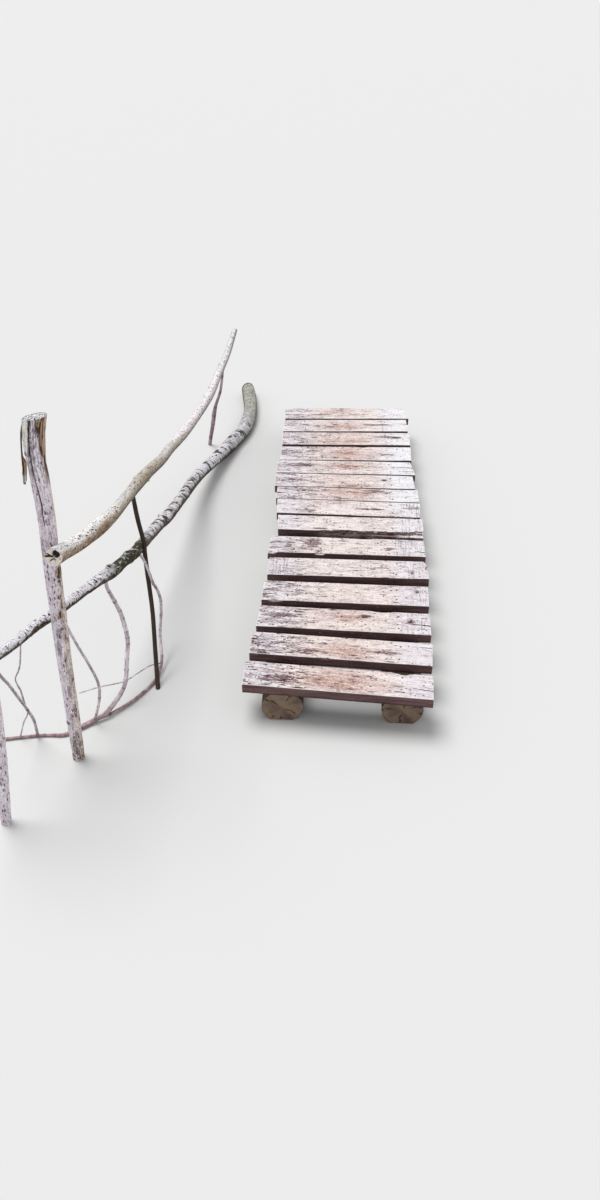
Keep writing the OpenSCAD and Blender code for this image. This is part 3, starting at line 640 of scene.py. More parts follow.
def make_post(material):
    """The post: bark all gone but for scraps, a long drying crack, and a sawn sloping top."""
    crack_side = [263 + k for k in range(31)]
    angles = [a for a in even(72) if not 262 < a < 294] + crack_side
    stretch = (place_at_height(POST, 0, 0), place_at_height(POST, POST_H - 4, 8.5))
    pole = Pole(POST, 4, angles, up=(0, 1, 0), uneven=0.025, stretch=stretch)
    pole.cut(0)
    pole.cut(1, slope=[math.tan(math.radians(a)) for a in (9, -6)])
    pole.radius += 0.5 * pole.noise(9, 21, 120) + 0.35 * pole.noise(3.5, 22, 60) + 0.5 * pole.noise(16, 23)
    pole.add_stubs(POST_STUBS)
    crack_z, crack_turn, crack_w = np.array(CRACK).T
    off = pole.across(180 - np.interp(pole.z, crack_z, crack_turn)) + 0.35 * noise_at(pole.u / 9, 0, 0, 24)
    gape = np.interp(pole.z, crack_z, crack_w, left=0)
    inside = np.clip(1 - np.abs(off) / (gape + 0.9), 0, 1) * (gape > 0)
    pole.radius -= np.sqrt(inside) * (4 + 5 * gape)
    # The crack is marked deep, which the material paints near black as painted shade.
    pole.marks[..., 1] = np.clip(inside * 4, 0, 1)
    scraps = pole.patches(POST_SCRAPS) * step(-0.45, -0.15, pole.noise(4, 25, 40))
    pole.radius += 1.3 * scraps

    # For the material: pale wood below the top, scraps of bark, stains, and tan skin on the right
    pole.marks[..., 2:] = (step(7.3, 8.4, pole.s) * step(19, 15, np.abs(pole.across(311))))[..., None]
    tan_half = np.interp(pole.z, [0, 500, 880, 900, 1200], [31, 31, 28, 15, 15])
    tan = step(6, -6, np.abs(pole.across(165)) - tan_half + 7 * pole.noise(14, 29, 60))
    pole.tones[:] = np.stack([scraps, pole.patches(POST_STAINS), tan], -1)

    def inset(end, x, y):
        check = np.clip(1 - np.abs(x * 0.988 - y * 0.156 + 3) / 1.6, 0, 1) * (y < -6)
        saw = 0.5 * noise_at(x / 4, y / 4, 0, 26) + 0.4 * np.cos(np.hypot(x + 4, y - 2) * 1.6)
        return end * (0.5 + saw + 9 * check)

    mesh = pole.mesh(inset, (0.97, 0.88, 0.78, 0.66, 0.54, 0.42, 0.3, 0.18, 0.08))
    make_piece("rail_post_peeled", mesh, material, "rail_post")

    # The strip of bark is flat, ragged at its hanging end, brown there and pale above
    strip = Pole(LOOSE_BARK, 3, even(28), up=(0, 1, 0), uneven=0.05)
    flat = np.abs(np.cos(np.radians(strip.angles + 25)))
    strip.radius *= (0.3 + 0.75 * flat**3) * (1 + 0.12 * strip.noise(4, 27, 9))
    ragged = 7 * strip.noise(3, 28) * step(30, 0, strip.u)
    strip.radius *= step(-6, 9, strip.u + ragged)
    strip.tones[..., 0] = step(1125, 1165, strip.z)
    strip.marks[..., 2] = step(1175, 1150, strip.z)
    make_piece("rail_post_bark_strip", strip.mesh(), material, None)


def slit(x, y, ax, ay, bx, by, half_w):
    """1 along a crack from point a to point b, and 0 beside it."""
    dx, dy = bx - ax, by - ay
    t = np.clip(((x - ax) * dx + (y - ay) * dy) / (dx**2 + dy**2), 0, 1)
    return np.clip(1.4 - np.hypot(x - ax - t * dx, y - ay - t * dy) / half_w, 0, 1)


def make_upper_rail(material):
    """The upper rail: smooth speckled bark, and a heart rotted out at its sawn near end."""
    near_crack = [165 + 1.5 * k for k in range(21)]
    pole = Pole(UPPER_RAIL, 6, [a for a in even(60) if abs(a - 180) > 15] + near_crack, uneven=0.025)
    pole.radius += 0.5 * pole.noise(14, 31, 60) + 0.3 * pole.noise(5, 32) - 0.3
    pole.add_stubs(UPPER_STUBS)

    def inset(end, x, y):
        saw = 0.35 * np.cos(0.9 * (y + 0.3 * x)) + 0.35 * noise_at(x / 3, y / 3, 0, 35)
        if end:
            return 0.5 + saw
        rough = 0.16 * noise_at(x / 6, y / 6, 0, 33)
        rotted = 18 * step(1.06, 0.8, np.hypot((x - 6.8) / 13, (y - 9) / 11.5) + rough)
        cracks = [depth * slit(x, y, *place) for *place, depth in UPPER_CRACKS]
        in_wood = np.hypot(x, y) < 26.88  # the ring of bark round it has no saw marks
        return np.maximum.reduce([rotted, *cracks]) + 0.7 + saw * in_wood

    mesh = pole.mesh(inset, (0.97, *np.arange(0.93, 0.06, -0.045)))
    make_piece("upper_rail_barked", mesh, material, "upper_rail", [POST])


def make_lower_rail(material):
    """The lower rail: knobbly bark under lichen, down to its blunt mossy end on the ground."""
    pole = Pole(LOWER_RAIL, 6, even(48))
    s = pole.s
    knobbly = np.exp(-((s - 7) / 1.6) ** 2)
    olive = step(6.2, 7.9, s) * step(11.2, 10.4, s)
    banded = step(8, 12, s) * step(19.2, 17.6, s)
    mossy = step(17, 19.8, s)
    pole.radius += (0.6 + 1.2 * knobbly) * pole.noise(15, 41, 20) + 0.5 * pole.noise(6, 42)
    pole.radius += 0.55 * banded * pole.noise(14, 43, 5) + 3.5 * np.exp(-((s - 9.2) / 0.16) ** 2)
    pole.add_stubs(LOWER_STUBS)
    pole.radius *= 0.72 + 0.28 * np.sqrt(step(0, 26, pole.u[-1] - pole.u))
    pole.tones[:] = np.stack([olive, banded, mossy], -1)
    # The material's mark is 1 where lichen keeps to the top and painted shade darkens the sides, and -1
    # where lichen reaches down the sides
    side_shade = step(3.4, 2.4, s) * step(1.3, 1.9, s)
    down_sides = step(14.6, 15.4, s) * step(19, 18, s)
    pole.marks[..., 2] = side_shade - down_sides

    def inset(end, x, y):
        return 1.2 + 0.8 * noise_at(x / 6, y / 6, 0, 44) - end * 3 * (1 - np.hypot(x, y) / 45)

    make_piece("lower_rail_barked", pole.mesh(inset), material, "lower_rail", [POST])


def make_prop(name, route, spacing, sides, up, against, material, ring_gap=0):
    """A stake or prop: cut level on the ground and notched to what it holds up."""
    pole = Pole(route, spacing, even(sides), up=up, stretch=(0, place_at_height(route, 0, len(route) - 2)))
    pole.cut(1, reach=40)
    seed = len(name)
    pole.radius += 0.35 * pole.noise(6, seed, 40) + 0.25 * pole.noise(3, seed + 1)
    if ring_gap:
        knuckles = pole.knuckles(ring_gap, 0.3 * np.sin(pole.u / 47))
        pole.radius += 0.7 * knuckles
        pole.marks[..., 2] = knuckles
    pole.radius *= 1 - 0.1 * step(6, 0, pole.u)
    make_piece(name + "_barked", pole.mesh(), material, name, against)


def make_branch(material):
    """The dead branch: its stem lies on the ground, and forks and twigs reach up to the rail."""
    parts = []
    for k, route in enumerate(BRANCH.values()):
        foot_r = route[0][3]
        spacing, sides = (3, 10) if foot_r < 4 else (4, 18)
        pole = Pole(route, spacing, even(sides), up=(0.2, 0.97, 0.1))
        shift = 0.35 * np.sin(pole.u / 41 + k) + 0.7 * noise_at(pole.u / 70, k, 0, 49)
        knuckles = pole.knuckles(26 + 3 * k, shift)
        pole.radius += 0.12 * foot_r * knuckles + 0.25 * pole.noise(4, 50 + k, 14)
        pole.marks[..., 2] = knuckles * step(-0.5, 0.2, pole.noise(5, 51 + k, 22))
        pole.tones[..., 0] = step(60, 14, pole.z)
        parts.append(pole.mesh(cap_rings=(0.9, 0.5)))
    mesh = join(parts)
    make_piece("leaning_branch_barked", mesh, material, "leaning_branch", [LOWER_RAIL])


def make_bearer(name, side, material):
    """A bearer: a log with scraps of bark, hewn flat on top and where it lies on the ground."""
    butt_r, thinner, ends_z, bow, inset_y = 79, -6, BEARER_H / 2, 20, 25
    deck_l = board_y(BOARDS - 1) + (BOARD_W + WIDER_BY[-1]) / 2
    middle = side * BEARER_OUT
    route = [
        (middle, inset_y, ends_z, butt_r),
        (middle + side * 4, deck_l * 0.28, ends_z + bow * 0.8, butt_r + thinner * 0.3),
        (middle - side * 3, deck_l * 0.55, ends_z + bow, butt_r + thinner * 0.5),
        (middle + side * 3, deck_l * 0.8, ends_z + bow * 0.6, butt_r + thinner * 0.8),
        (middle, deck_l - inset_y, ends_z, butt_r + thinner),
    ]
    pole = Pole(route, 10, even(64), uneven=0.015)
    seed = 60 + side
    bark = step(-0.15, 0.15, pole.noise(60, seed, 220) + 0.2)
    pole.radius += 0.9 * pole.noise(14, seed + 3, 60) + 0.5 * pole.noise(5, seed + 5, 30) - 1.5
    pole.radius -= 2.5 * (1 - bark)
    pole.tones[..., 0] = bark

    def inset(end, x, y):
        angle, r = np.arctan2(y, x), np.hypot(x, y)
        cracks = 0
        for turn, start, half_w in BEARER_CRACKS:
            off = np.angle(np.exp(1j * (angle - turn - side - 2 * end))) * r + 3 * np.sin(r / 9 + turn)
            gape = np.clip(1.3 - np.abs(off) / (half_w + r / 60), 0, 1)
            cracks = np.maximum(cracks, gape * step(start, start + 20, r))
        return 1 + 0.5 * noise_at(x / 8, y / 8, end, seed + 7) + 0.3 * np.cos(r * 1.1) + 7 * cracks

    points, faces, vectors = pole.mesh(inset, (0.97, *np.arange(0.9, 0.06, -0.08)))
    hewn = points[:, 2] > BEARER_H - 0.5
    dressed = BEARER_H - 0.8 - 0.4 * noise(points / (30, 14, 30), seed + 9)
    points[:, 2] = np.where(hewn, dressed, points[:, 2])
    vectors["mark"][hewn, 2] = 1
    make_piece(name + "_hewn", (points, faces, vectors), material, name, sharp=50)


# Materials

MIX_SHARE, MIX_GROUND, MIX_OVER, MIX_RESULT = 0, 6, 7, 2  # a Mix node's sockets for colours


def colour(code):
    """A colour written as six hexadecimal digits, as the shader's linear numbers."""
    parts = [int(code[k:k + 2], 16) / 255 for k in (0, 2, 4)]
    return (*(c / 12.92 if c < 0.04045 else ((c + 0.055) / 1.055) ** 2.4 for c in parts), 1)


def put(value, socket):
    """Gives a socket a number, a colour code or what another node gives."""
    if isinstance(value, Value):
        value.tree.links.new(value.socket, socket)
    else:
        socket.default_value = colour(value) if isinstance(value, str) else value


def add_node(tree, kind, inputs, output=0, **settings):
    """Adds a node and returns what one of its outputs gives."""
    node = tree.nodes.new("ShaderNode" + kind)
    for name, setting in settings.items():
        setattr(node, name, setting)
    for place, value in inputs.items():
        put(value, node.inputs[place])
    return Value(node.outputs[output])


class Value:
    """What a node gives. Numbers are reckoned with by plus, minus, times and abs()."""

    def __init__(self, socket):
        self.socket, self.tree = socket, socket.id_data

    def other(self, output):
        """What another output of the same node gives."""
        return Value(self.socket.node.outputs[output])

    def parts(self):
        """The three numbers of a vector."""
        first = add_node(self.tree, "SeparateXYZ", {0: self})
        return [first.other(k) for k in range(3)]

    def maths(self, operation, other=0.0):
        return add_node(self.tree, "Math", {0: self, 1: other}, operation=operation)

    def __add__(self, other):
        return self.maths("ADD", other)

    def __mul__(self, other):
        return self.maths("MULTIPLY", other)

    __radd__, __rmul__ = __add__, __mul__

    def __sub__(self, other):
        return self.maths("SUBTRACT", other)

    def __rsub__(self, other):
        return add_node(self.tree, "Math", {0: other, 1: self}, operation="SUBTRACT")

    def __abs__(self):
        return self.maths("ABSOLUTE")

    def sine(self):
        return self.maths("SINE")

    def most(self, other):
        return self.maths("MAXIMUM", other)

    def step(self, low, high):
        """0 below low, 1 above high, or the other way round where low is the higher."""
        ends = (low, high, 0, 1) if low < high else (high, low, 1, 0)
        inputs = {0: self, **dict(enumerate(ends, 1))}
        return add_node(self.tree, "MapRange", inputs, interpolation_type="SMOOTHSTEP")


def coats(ground, *layers):
    """A colour with others laid over it in turn, each as its share from 0 to 1 and its colour."""
    for share, over in layers:
        inputs = {MIX_SHARE: share, MIX_GROUND: ground, MIX_OVER: over}
        ground = add_node(share.tree, "Mix", inputs, MIX_RESULT, data_type="RGBA")
    return ground


def blend_along(value, stops):
    """A colour for a value from 0 up, from stops of such values and colour codes."""
    end = stops[-1][0]
    blend = add_node(value.tree, "ValToRGB", {0: value * (1 / end)})
    elements = blend.socket.node.color_ramp.elements
    for k, (place, code) in enumerate(stops):
        stop = elements[k] if k < 2 else elements.new(place / end)
        stop.position, stop.color = place / end, colour(code)
    return blend


class Finish:
    """A node material, written as a few lines of what is laid over what."""

    def __init__(self, name, roughness, specular):
        self.material = bpy.data.materials.new(name)
        self.material.use_nodes = True
        self.tree = self.material.node_tree
        self.shader = self.tree.nodes["Principled BSDF"]
        put(roughness, self.shader.inputs["Roughness"])
        put(specular, self.shader.inputs["Specular IOR Level"])
        self.skin = self.vector("skin")

    def vector(self, name):
        return add_node(self.tree, "Attribute", {}, "Vector", attribute_name=name)

    def normal(self):
        return add_node(self.tree, "NewGeometry", {}, "Normal")

    def stretched(self, *by):
        return add_node(self.tree, "VectorMath", {0: self.skin, 1: by}, operation="MULTIPLY")

    def noise(self, along_it, across, detail=3, rough=0.6, warp=0):
        """Noise from 0 to 1 with so many cells a metre along the grain and across it."""
        place = self.stretched(along_it, across, across)
        inputs = {"Scale": 1, "Detail": detail, "Roughness": rough, "Distortion": warp}
        return add_node(self.tree, "TexNoise", {"Vector": place, **inputs})

    def cells(self, along_it, across, uneven=0.45, warp=0.7):
        """The distance to the nearest of scattered ragged spots of uneven size, so many a metre."""
        place = self.stretched(along_it, across, across)
        shift = add_node(self.tree, "TexNoise", {"Vector": place, "Scale": 2.3}, "Color")
        moved = {0: shift, 1: [warp] * 3, 2: place}
        place = add_node(self.tree, "VectorMath", moved, operation="MULTIPLY_ADD")
        nearest = add_node(self.tree, "TexVoronoi", {"Vector": place, "Scale": 1})
        return nearest + nearest.other("Color").parts()[0] * uneven

    def growth_rings(self, a_metre):
        """Waves round the heart of a log or pole, from -1 to 1."""
        across = self.stretched(0, 1, 1)
        from_heart = add_node(self.tree, "VectorMath", {0: across}, "Value", operation="LENGTH")
        wavering = from_heart + self.noise(0, 30, 2) * 0.012
        return (wavering * (2 * math.pi * a_metre)).sine()

    def done(self, base, *reliefs):
        """The material in its colour, with fine reliefs, each a height and how many metres it makes."""
        put(base, self.shader.inputs["Base Color"])
        below = {}
        for height, distance in reliefs:
            inputs = {"Strength": 1, "Distance": distance, "Height": height, **below}
            below = {"Normal": add_node(self.tree, "Bump", inputs)}
        for socket, bumps in below.items():
            put(bumps, self.shader.inputs[socket])
        return self.material


def deck_board_finish():
    """Sawn softwood bleached by rain: grey-beige with fine dark grain, soil and knots, with painted light
    on the right parts and arrises and painted shade on the sides, ledges and splits.
    """
    f = Finish("weathered_board", 0.8, 0.2)
    soil, bleach_and_light, stain = f.vector("tone").parts()
    knot, deep, sawn = f.vector("mark").parts()
    grey, height, inner = f.vector("body").parts()
    nx, _, nz = f.normal().parts()
    broad = f.noise(4, 16)
    patch = f.noise(9, 42, 4, 0.65)
    streaky = f.noise(7, 110, 4, 0.6, 0.4)
    fine = f.noise(16, 300)
    grit = f.noise(130, 170, 3, 0.7)
    speckle = f.noise(24, 95, 4, 0.75)
    dots = f.cells(62, 72)
    dashes = f.cells(16, 85, 0.4)
    wavy = 1 - abs(f.noise(17, 95, 3, 0.55, 1.2) * 2 - 1)
    saw_bands = f.noise(240, 14, 2, 0.5)

    brown = soil * (patch + (broad + grit) * 0.3).step(0.52, 0.9)
    # Whiter right parts, partly bleached wood and partly painted light.
    worn_and_lit = bleach_and_light * (streaky + bleach_and_light * 0.6).step(0.45, 0.85)
    busy = 0.35 + grey * 0.65 + stain.most(soil * 0.3) * 0.5
    busy = busy * (0.3 + patch.step(0.38, 0.62)) * (1 - bleach_and_light * 0.4)
    ragged = stain + (streaky - 0.5) * 1.5
    # A painted highlight: the top arrises are whitened along streaks.
    arris = nz.step(0.985, 0.9) * height.step(0.86, 0.92)
    # Painted shade: low top faces, the torn ledge and the floors of chips, are darkened where they are not
    # whitened.
    ledge_shade = height.step(0.8, 0.6) * (bleach_and_light + streaky).step(0.9, 0.7)
    knot_on_top = knot * height.step(0.8, 0.95)
    loops = knot_on_top + (speckle + patch - 1) * 1.3
    curls = knot_on_top.step(0.12, 0.34) * (loops * 19).sine().step(0, 0.8)
    top = coats(
        "fff3ee",
        (broad.step(0.38, 0.62), "f7e9e6"),
        (inner.step(1, 0.3) * 0.7, "f0ecf5"),
        (streaky.step(0.5, 0.64) * 0.3, "c8b5b8"),
        (grey * patch.step(0.42, 0.66), "b9a7af"),
        (soil * 0.6, "f2d3c6"),
        (brown * 0.85, "c08e7b"),
        (worn_and_lit, "fbf9fd"),
        (ragged.step(0.26, 0.46) * 0.9, "82656f"),
        (wavy.step(0.86, 0.94) * busy, "5f474e"),
        (speckle.step(0.44, 0.36) * 0.7, "fffcfa"),
        (speckle.step(0.56, 0.63) * (0.08 + busy * 0.75), "7b6167"),
        (grit.step(0.44, 0.36) * 0.5, "fffcfa"),
        (grit.step(0.57, 0.64) * (0.3 + busy * 0.4), "7b6368"),
        (dots.step(0.34, 0.28) * (0.6 + busy * 0.4), "3c2a2f"),
        (dashes.step(0.4, 0.33) * (busy * 1.6), "37252a"),
        # Painted highlight on the arrises.
        (arris * streaky.step(0.62, 0.5), "fffdfb"),
        (sawn * saw_bands.step(0.5, 0.62) * 0.55, "948590"),
        (ledge_shade * 0.85, "6a4f50"),
        (curls * streaky.step(0.36, 0.52), "785c61"),
        (loops.step(0.5, 0.72) * knot_on_top.step(0.3, 0.5), "5e4344"),
        # Painted shade: the insides of the splits near black.
        (deep, "1c1315"),
    )

    # The sides are dark damp wood with painted shade on their lower part, and the ends show the rings of
    # the trunk
    splinters = f.noise(12, 330, 4, 0.7).step(0.46, 0.56)
    damp_and_shade = coats(
        "7a5d5d",
        (streaky.step(0.4, 0.62), "5e4647"),
        # Painted shade: the lower part of each side, shaded by the gap, is darker.
        ((height + patch * 0.5).step(0.55, 0.2), "3c2b2d"),
        (grit.step(0.56, 0.64) * 0.5, "3a292b"),
        (knot * splinters * patch.step(0.36, 0.56), "d6c2bd"),
        (f.noise(60, 130, 1, 0.5).step(0.72, 0.78), "bda9a4"),
    )
    hoops = (f.cells(0, 20, 0, 0) * 70).sine()
    sawn_end = coats("a08f8c", (hoops.step(-0.4, 0.9), "75625f"), (patch.step(0.4, 0.8), "59474a"))
    side = nz.step(0.75, 0.35)
    base = coats(top, (side, damp_and_shade), (abs(nx).step(0.6, 0.85) * side, sawn_end))
    return f.done(base, (fine, 0.0009), (dots.step(0.36, 0.26), -0.0012), (grit, 0.0008))


def bearer_finish():
    """A damp log: dark fissured bark, and paler hewn and bare wood."""
    f = Finish("bearer_wood", 0.85, 0.25)
    bark, _, _ = f.vector("tone").parts()
    bare, deep, hewn = f.vector("mark").parts()
    furrow = f.noise(14, 75, 4, 0.65, 0.6)
    fine = f.noise(16, 300)
    patch = f.noise(9, 14)
    rough_bark = coats(
        "2c2320", (furrow.step(0.38, 0.6), "5d4d43"), (patch.step(0.52, 0.66) * 0.6, "6c7058"),
    )
    cut = coats("a28b76", (f.growth_rings(190).step(-0.3, 0.9), "806a59"), (patch.step(0.4, 0.7), "6d5c50"))
    base = coats(
        "8a7466",
        (fine.step(0.4, 0.65), "66524a"),
        (patch.step(0.45, 0.7), "4d3f39"),
        (bark, rough_bark),
        (hewn, coats("5c4a40", (fine.step(0.4, 0.65), "40332d"))),
        (bare, cut),
        # Painted shade: the cracks in the ends near black.
        (deep, "1d1614"),
    )
    return f.done(base, (furrow * bark, 0.006), (fine, 0.0008))


def post_finish():
    """Peeled, weathered wood: pinkish grey with dark specks and streaks, and scraps of bark."""
    f = Finish("peeled_post", 0.8, 0.25)
    scrap, stained, tan = f.vector("tone").parts()
    bare, deep, pale = f.vector("mark").parts()
    up, _, _ = f.skin.parts()
    broad = f.noise(7, 30)
    streak = f.noise(14, 190, 4, 0.6, 0.2)
    blotch = f.noise(16, 34, 5, 0.7, 0.8)
    mottle = f.noise(42, 150, 5, 0.75, 0.4)
    grit = f.noise(110, 240, 3, 0.7)
    dots = f.cells(40, 120)
    stripes = f.noise(6, 150, 2, 0.5)
    brown = tan * up.step(0.95, 0.85) * blotch.step(0.47, 0.58)
    dark = (stained * (mottle + blotch + 0.1)).step(0.7, 1.15)
    weathered = up.step(1.08, 1.2) * (streak + stripes * 0.6).step(0.78, 0.86)
    bark = coats("b7977a", (stripes.step(0.47, 0.53), "4a3626"), (mottle.step(0.53, 0.58) * 0.85, "2f1e14"))
    rings = f.growth_rings(150).step(0.1, 0.8) * f.noise(0, 160, 2).step(0.4, 0.55)
    sawn_top = coats("f2f3f5", (rings, "7c7f83"), (f.noise(0, 120, 4, 0.75).step(0.5, 0.56), "55585b"))
    base = coats(
        "fff8ff",
        (broad.step(0.38, 0.62), "f3e4f1"),
        (tan, "f5e4da"),
        (streak.step(0.42, 0.66) * 0.5, "b39fab"),
        (blotch.step(0.48, 0.72) * 0.5, "9a8691"),
        (brown * 0.45, "a58f80"),
        (dark * 0.65, "75616c"),
        (pale * streak.step(0.62, 0.5), "f6f3e4"),
        (weathered * 0.6, "5d5457"),
        (mottle.step(0.46, 0.34) * 0.6, "fffcff"),
        (mottle.step(0.53, 0.64) * 0.5, "6f5c66"),
        (grit.step(0.45, 0.34) * 0.7, "fffcff"),
        (grit.step(0.55, 0.64) * 0.65, "65545d"),
        (dots.step(0.42, 0.34) * 0.85, "3d2f35"),
        (up.step(0.16, 0.02) * mottle.step(0.4, 0.55), "75614f"),
        (scrap * blotch.step(0.2, 0.34), bark),
        (bare.step(0.2, 0.8) * mottle.step(0.3, 0.5), "806c70"),
        (bare.step(0.92, 0.98), sawn_top),
        # Painted shade: the crack and the check in the top near black.
        (deep, "120d0e"),
    )
    return f.done(base, (streak, 0.0012), (grit, -0.0008))


def upper_rail_finish():
    """Smooth bark: white with dark specks near the post, tan further on and grey at the far end; lighter on
    top as painted light, darker below as painted shade.
    """
    f = Finish("speckled_bark", 0.7, 0.3)
    bare, deep, _ = f.vector("mark").parts()
    _, _, nz = f.normal().parts()
    u, _, _ = f.skin.parts()
    broad = f.noise(14, 40, 4, 0.65)
    specks = f.noise(110, 140, 3, 0.65)
    lenticels = f.cells(64, 92, 0.4)
    ragged = (broad - 0.5) * 1.2 + (specks - 0.5) * 2.6
    # Painted light and shade: by how far the skin faces up, the top takes lighter colours and the underside
    # darker ones.
    facing_light = nz + ragged + u.step(0.2, 0.08) * 0.3
    warm = specks.step(0.48, 0.56) * facing_light.step(0.62, 0.4) * u.step(0.62, 0.35)
    top = blend_along(u, [
        (0, "fffdfc"), (0.45, "faf6f5"), (0.66, "d6d1ce"), (0.9, "c8beb3"), (1.1, "c6bbae"),
        (1.25, "dcd6d4"), (1.45, "f8eef5"), (2.4, "fdf9ff"), (3.3, "f4f0f8"),
    ])
    side = blend_along(u, [
        (0, "b59c88"), (0.36, "b8a48f"), (0.66, "aba28f"), (0.96, "a39078"), (1.23, "aba395"),
        (1.45, "cabfb2"), (2.1, "d6cbca"), (2.6, "cfcacb"), (3.0, "9d9795"), (3.3, "9d9795"),
    ])
    # The underside's colours are painted shade.
    under = blend_along(u, [
        (0, "6b4f35"), (0.66, "58523c"), (1.2, "575040"), (2.0, "5e5450"), (3.3, "55524d"),
    ])
    base = coats(
        side,
        # Lighter on top as painted light, darker underneath as painted shade.
        (facing_light.step(0.6, 0.78), top),
        (facing_light.step(0.1, -0.1), under),
        (broad.step(0.55, 0.66) * 0.45, "94877a"),
        (warm * 0.75, "8a5a2c"),
        (specks.step(0.43, 0.36) * 0.55, "fffcf6"),
        (specks.step(0.56, 0.61) * 0.75, "54463c"),
        (lenticels.step(0.4, 0.32) * 0.95, "241d19"),
        (bare, coats("fff7f0", (f.noise(0, 200, 3, 0.65).step(0.48, 0.64), "dcc2ae"))),
        (deep, "4c4a4f"),
    )
    return f.done(base, (lenticels.step(0.4, 0.3), -0.0012), (specks, 0.0008))


def lower_rail_finish():
    """Rough bark under white-grey lichen, dark olive in its middle and mossy at its far end, with painted
    shade down its sides.
    """
    f = Finish("lichen_bark", 0.85, 0.2)
    olive, banded, mossy = f.vector("tone").parts()
    bare, deep, side_shade = f.vector("mark").parts()
    _, _, nz = f.normal().parts()
    lichen = f.noise(30, 42, 5, 0.68, 0.5)
    bands = f.noise(36, 15, 4, 0.7, 0.6)
    fine = f.noise(150, 200, 3, 0.65)
    moss = f.noise(30, 40, 4, 0.7, 0.3)
    dashes = f.cells(105, 55)
    # Pale lichen keeps to the top; the dark bark on the sides and underside is partly painted shade, raised
    # higher on the near part and the banded part.
    lichen_top_and_shaded_sides = (nz + (lichen - 0.5) * 1.5 - (side_shade + banded * 0.4) * 0.35).step(0, 0.4)
    covered = 1 - olive * (lichen - nz * 0.15).step(0.26, 0.36)
    marks = dashes.step(0.52, 0.44) * lichen.step(0.36, 0.48) * (1 - banded)
    dull = banded * side_shade.step(-0.8, -0.2) * lichen.step(0.52, 0.36)
    base = coats(
        "5d4c3f",
        (fine.step(0.42, 0.6), "2c2521"),
        (lichen.step(0.54, 0.62) * 0.7, "8c8075"),
        (olive * moss.step(0.35, 0.55), "3b3c29"),
        (lichen_top_and_shaded_sides * covered, coats("fffdff", (fine.step(0.36, 0.62), "c9c4cd"))),
        (marks, "221d1c"),
        (dull * 0.7, "a49d9f"),
        (banded * bands.step(0.5, 0.56), "4b423d"),
        (fine.step(0.61, 0.67) * 0.8, "2b2624"),
        (olive * moss.step(0.42, 0.36) * 0.8, "a3a681"),
        (mossy * moss.step(0.42, 0.54) * 0.8, "7c7e62"),
        (mossy.step(0.3, 1) * moss.step(0.52, 0.4), "b0aea2"),
        # Painted shade: the sides and underside of the mossy end are darker.
        (mossy * nz.step(0.75, 0.3) * 0.7, "5b5a49"),
        (bare, coats("8f8674", (fine.step(0.4, 0.6), "5d5546"))),
        # Painted shade: the sunk parts of the ends are darker.
        (deep, "1b1715"),
    )
    return f.done(base, (lichen, 0.003), (bands, 0.002), (fine, 0.0012))


def thin_pole_finish(name, pale, mid, dark, knuckles):
    """Dry thin poles: streaked along, darker below as painted shade, and darker at the rings where they
    swelled.
    """
    f = Finish(name, 0.8, 0.25)
    bare, _, knuckle = f.vector("mark").parts()
    earthy, _, _ = f.vector("tone").parts()
    _, _, nz = f.normal().parts()
    streak = f.noise(22, 260, 4, 0.6, 0.3)
    patch = f.noise(26, 60, 4)
    base = coats(
        pale,
        (patch.step(0.38, 0.62), mid),
        (earthy * patch.step(0.2, 0.55), "ad9092"),
        (streak.step(0.5, 0.66) * 0.6, dark),
        # Painted shade: darker where the skin faces down.
        (nz.step(0.2, -0.6) * 0.6, dark),
        ((knuckle + (patch - 0.5) * 1.6).step(0.45, 0.7) * knuckles, dark),
        (bare * 0.7, mid),
    )
    return f.done(base, (streak, 0.0012))


def rust_finish():
    f = Finish("rusty_iron", 0.75, 0.4)
    return f.done(coats("3a2620", (f.noise(700, 700).step(0.4, 0.65), "6b4634")))


# Making the pieces

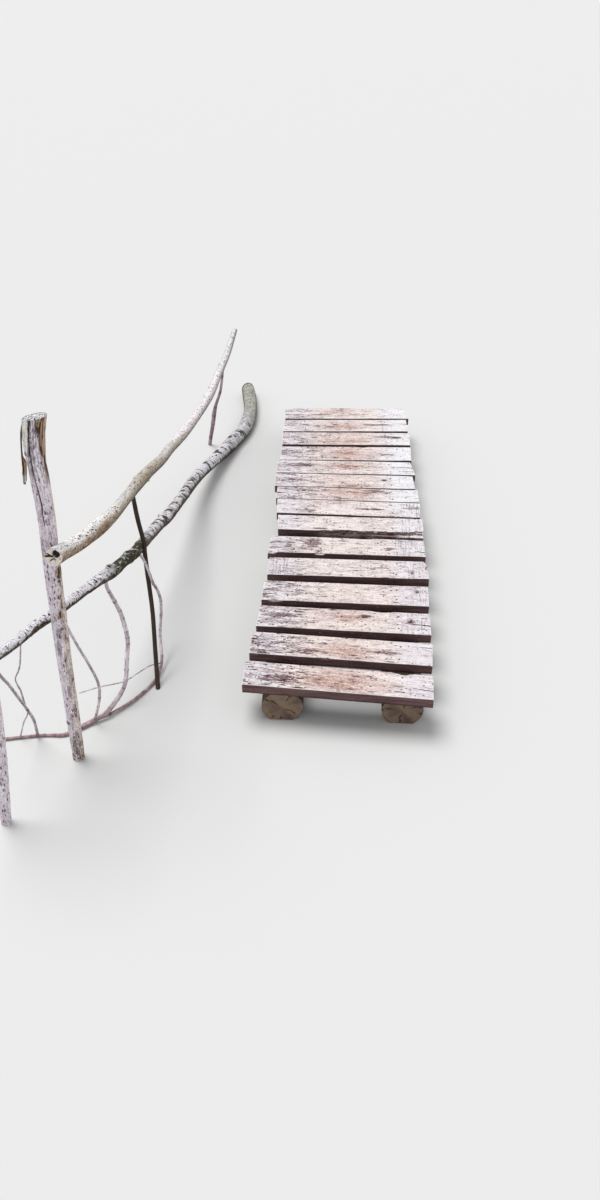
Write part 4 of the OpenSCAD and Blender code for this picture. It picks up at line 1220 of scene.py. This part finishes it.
board_wood = deck_board_finish()
for number in range(BOARDS):
    make_board(number, board_wood)
bearer_wood = bearer_finish()
make_bearer("bearer_left", -1, bearer_wood)
make_bearer("bearer_right", 1, bearer_wood)
post_wood = post_finish()
make_post(post_wood)
make_upper_rail(upper_rail_finish())
make_lower_rail(lower_rail_finish())
stake_bark = thin_pole_finish("dark_bark", "4a3b30", "38302a", "211a15", 0.3)
branch_bark = thin_pole_finish("grey_bark", "fbeef8", "d0c1c9", "594c4f", 0.65)
prop_bark = thin_pole_finish("mauve_bark", "c9b1ba", "a68d95", "5b474b", 0.5)
both_rails = [UPPER_RAIL, LOWER_RAIL]
make_prop("rail_stake", RAIL_STAKE, 4, 20, (1, 0, 0), both_rails, stake_bark)
make_prop("far_prop", FAR_PROP, 3, 20, (0, 1, 0), [UPPER_RAIL], prop_bark, 74)
make_prop("near_prop", NEAR_PROP, 4, 36, (0, 1, 0), [LOWER_RAIL], post_wood)
make_branch(branch_bark)
make_nails(rust_finish())


# The floor, the light and the camera

def make_stage():
    reach = 150
    corners = [(-reach, -reach, 0), (reach, -reach, 0), (reach, reach, 0), (-reach, reach, 0)]
    mesh = bpy.data.meshes.new("floor")
    mesh.from_pydata(corners, [], [(0, 1, 2, 3)])
    pale = (0.8, 0.8, 0.79, 1)
    mesh.materials.append(Finish("pale_floor", 0.9, 0.1).done(pale))
    floor = add_object("floor", mesh)


def make_light():
    """A white background that gives off half as much light as it shows, and a wide soft sun."""
    world = bpy.data.worlds.new("soft_light")
    world.use_nodes = True
    tree = world.node_tree
    sky = tree.nodes["Background"]
    put((0.97, 0.985, 1, 1), sky.inputs["Color"])
    put(0.5, sky.inputs["Strength"])
    white = add_node(tree, "Background", {"Color": (1, 1, 1, 1), "Strength": 1})
    camera_ray = add_node(tree, "LightPath", {}, "Is Camera Ray")
    seen = camera_ray.most(camera_ray.other("Is Glossy Ray"))
    seen = seen.most(camera_ray.other("Is Transmission Ray"))
    shown = add_node(tree, "MixShader", {0: seen, 1: Value(sky.outputs[0]), 2: white})
    put(shown, tree.nodes["World Output"].inputs["Surface"])
    bpy.context.scene.world = world

    lamp = bpy.data.lights.new("soft_sun", "SUN")
    lamp.energy, lamp.angle = 1.9, math.radians(35)
    holder = add_object("soft_sun", lamp)
    holder.rotation_euler = (math.radians(-14), math.radians(-16), 0)


def make_camera():
    """The photograph's view: its height and tilt were worked out from the deck's boards."""
    picture_h, focal = 1200, 930  # in the photograph's pixels
    tilt_down, turn_left = 35.2, 2.63
    camera = bpy.data.cameras.new("camera")
    camera.sensor_width = 36
    camera.lens = camera.sensor_width * focal / picture_h
    camera.clip_end = 500
    holder = add_object("camera", camera)
    holder.location = (0.442, -3.859, 2.405)
    holder.rotation_euler = (math.radians(90 - tilt_down), 0, math.radians(turn_left))
    bpy.context.scene.camera = holder


make_stage()
make_light()
make_camera()
bpy.context.scene.view_settings.view_transform = "Standard"
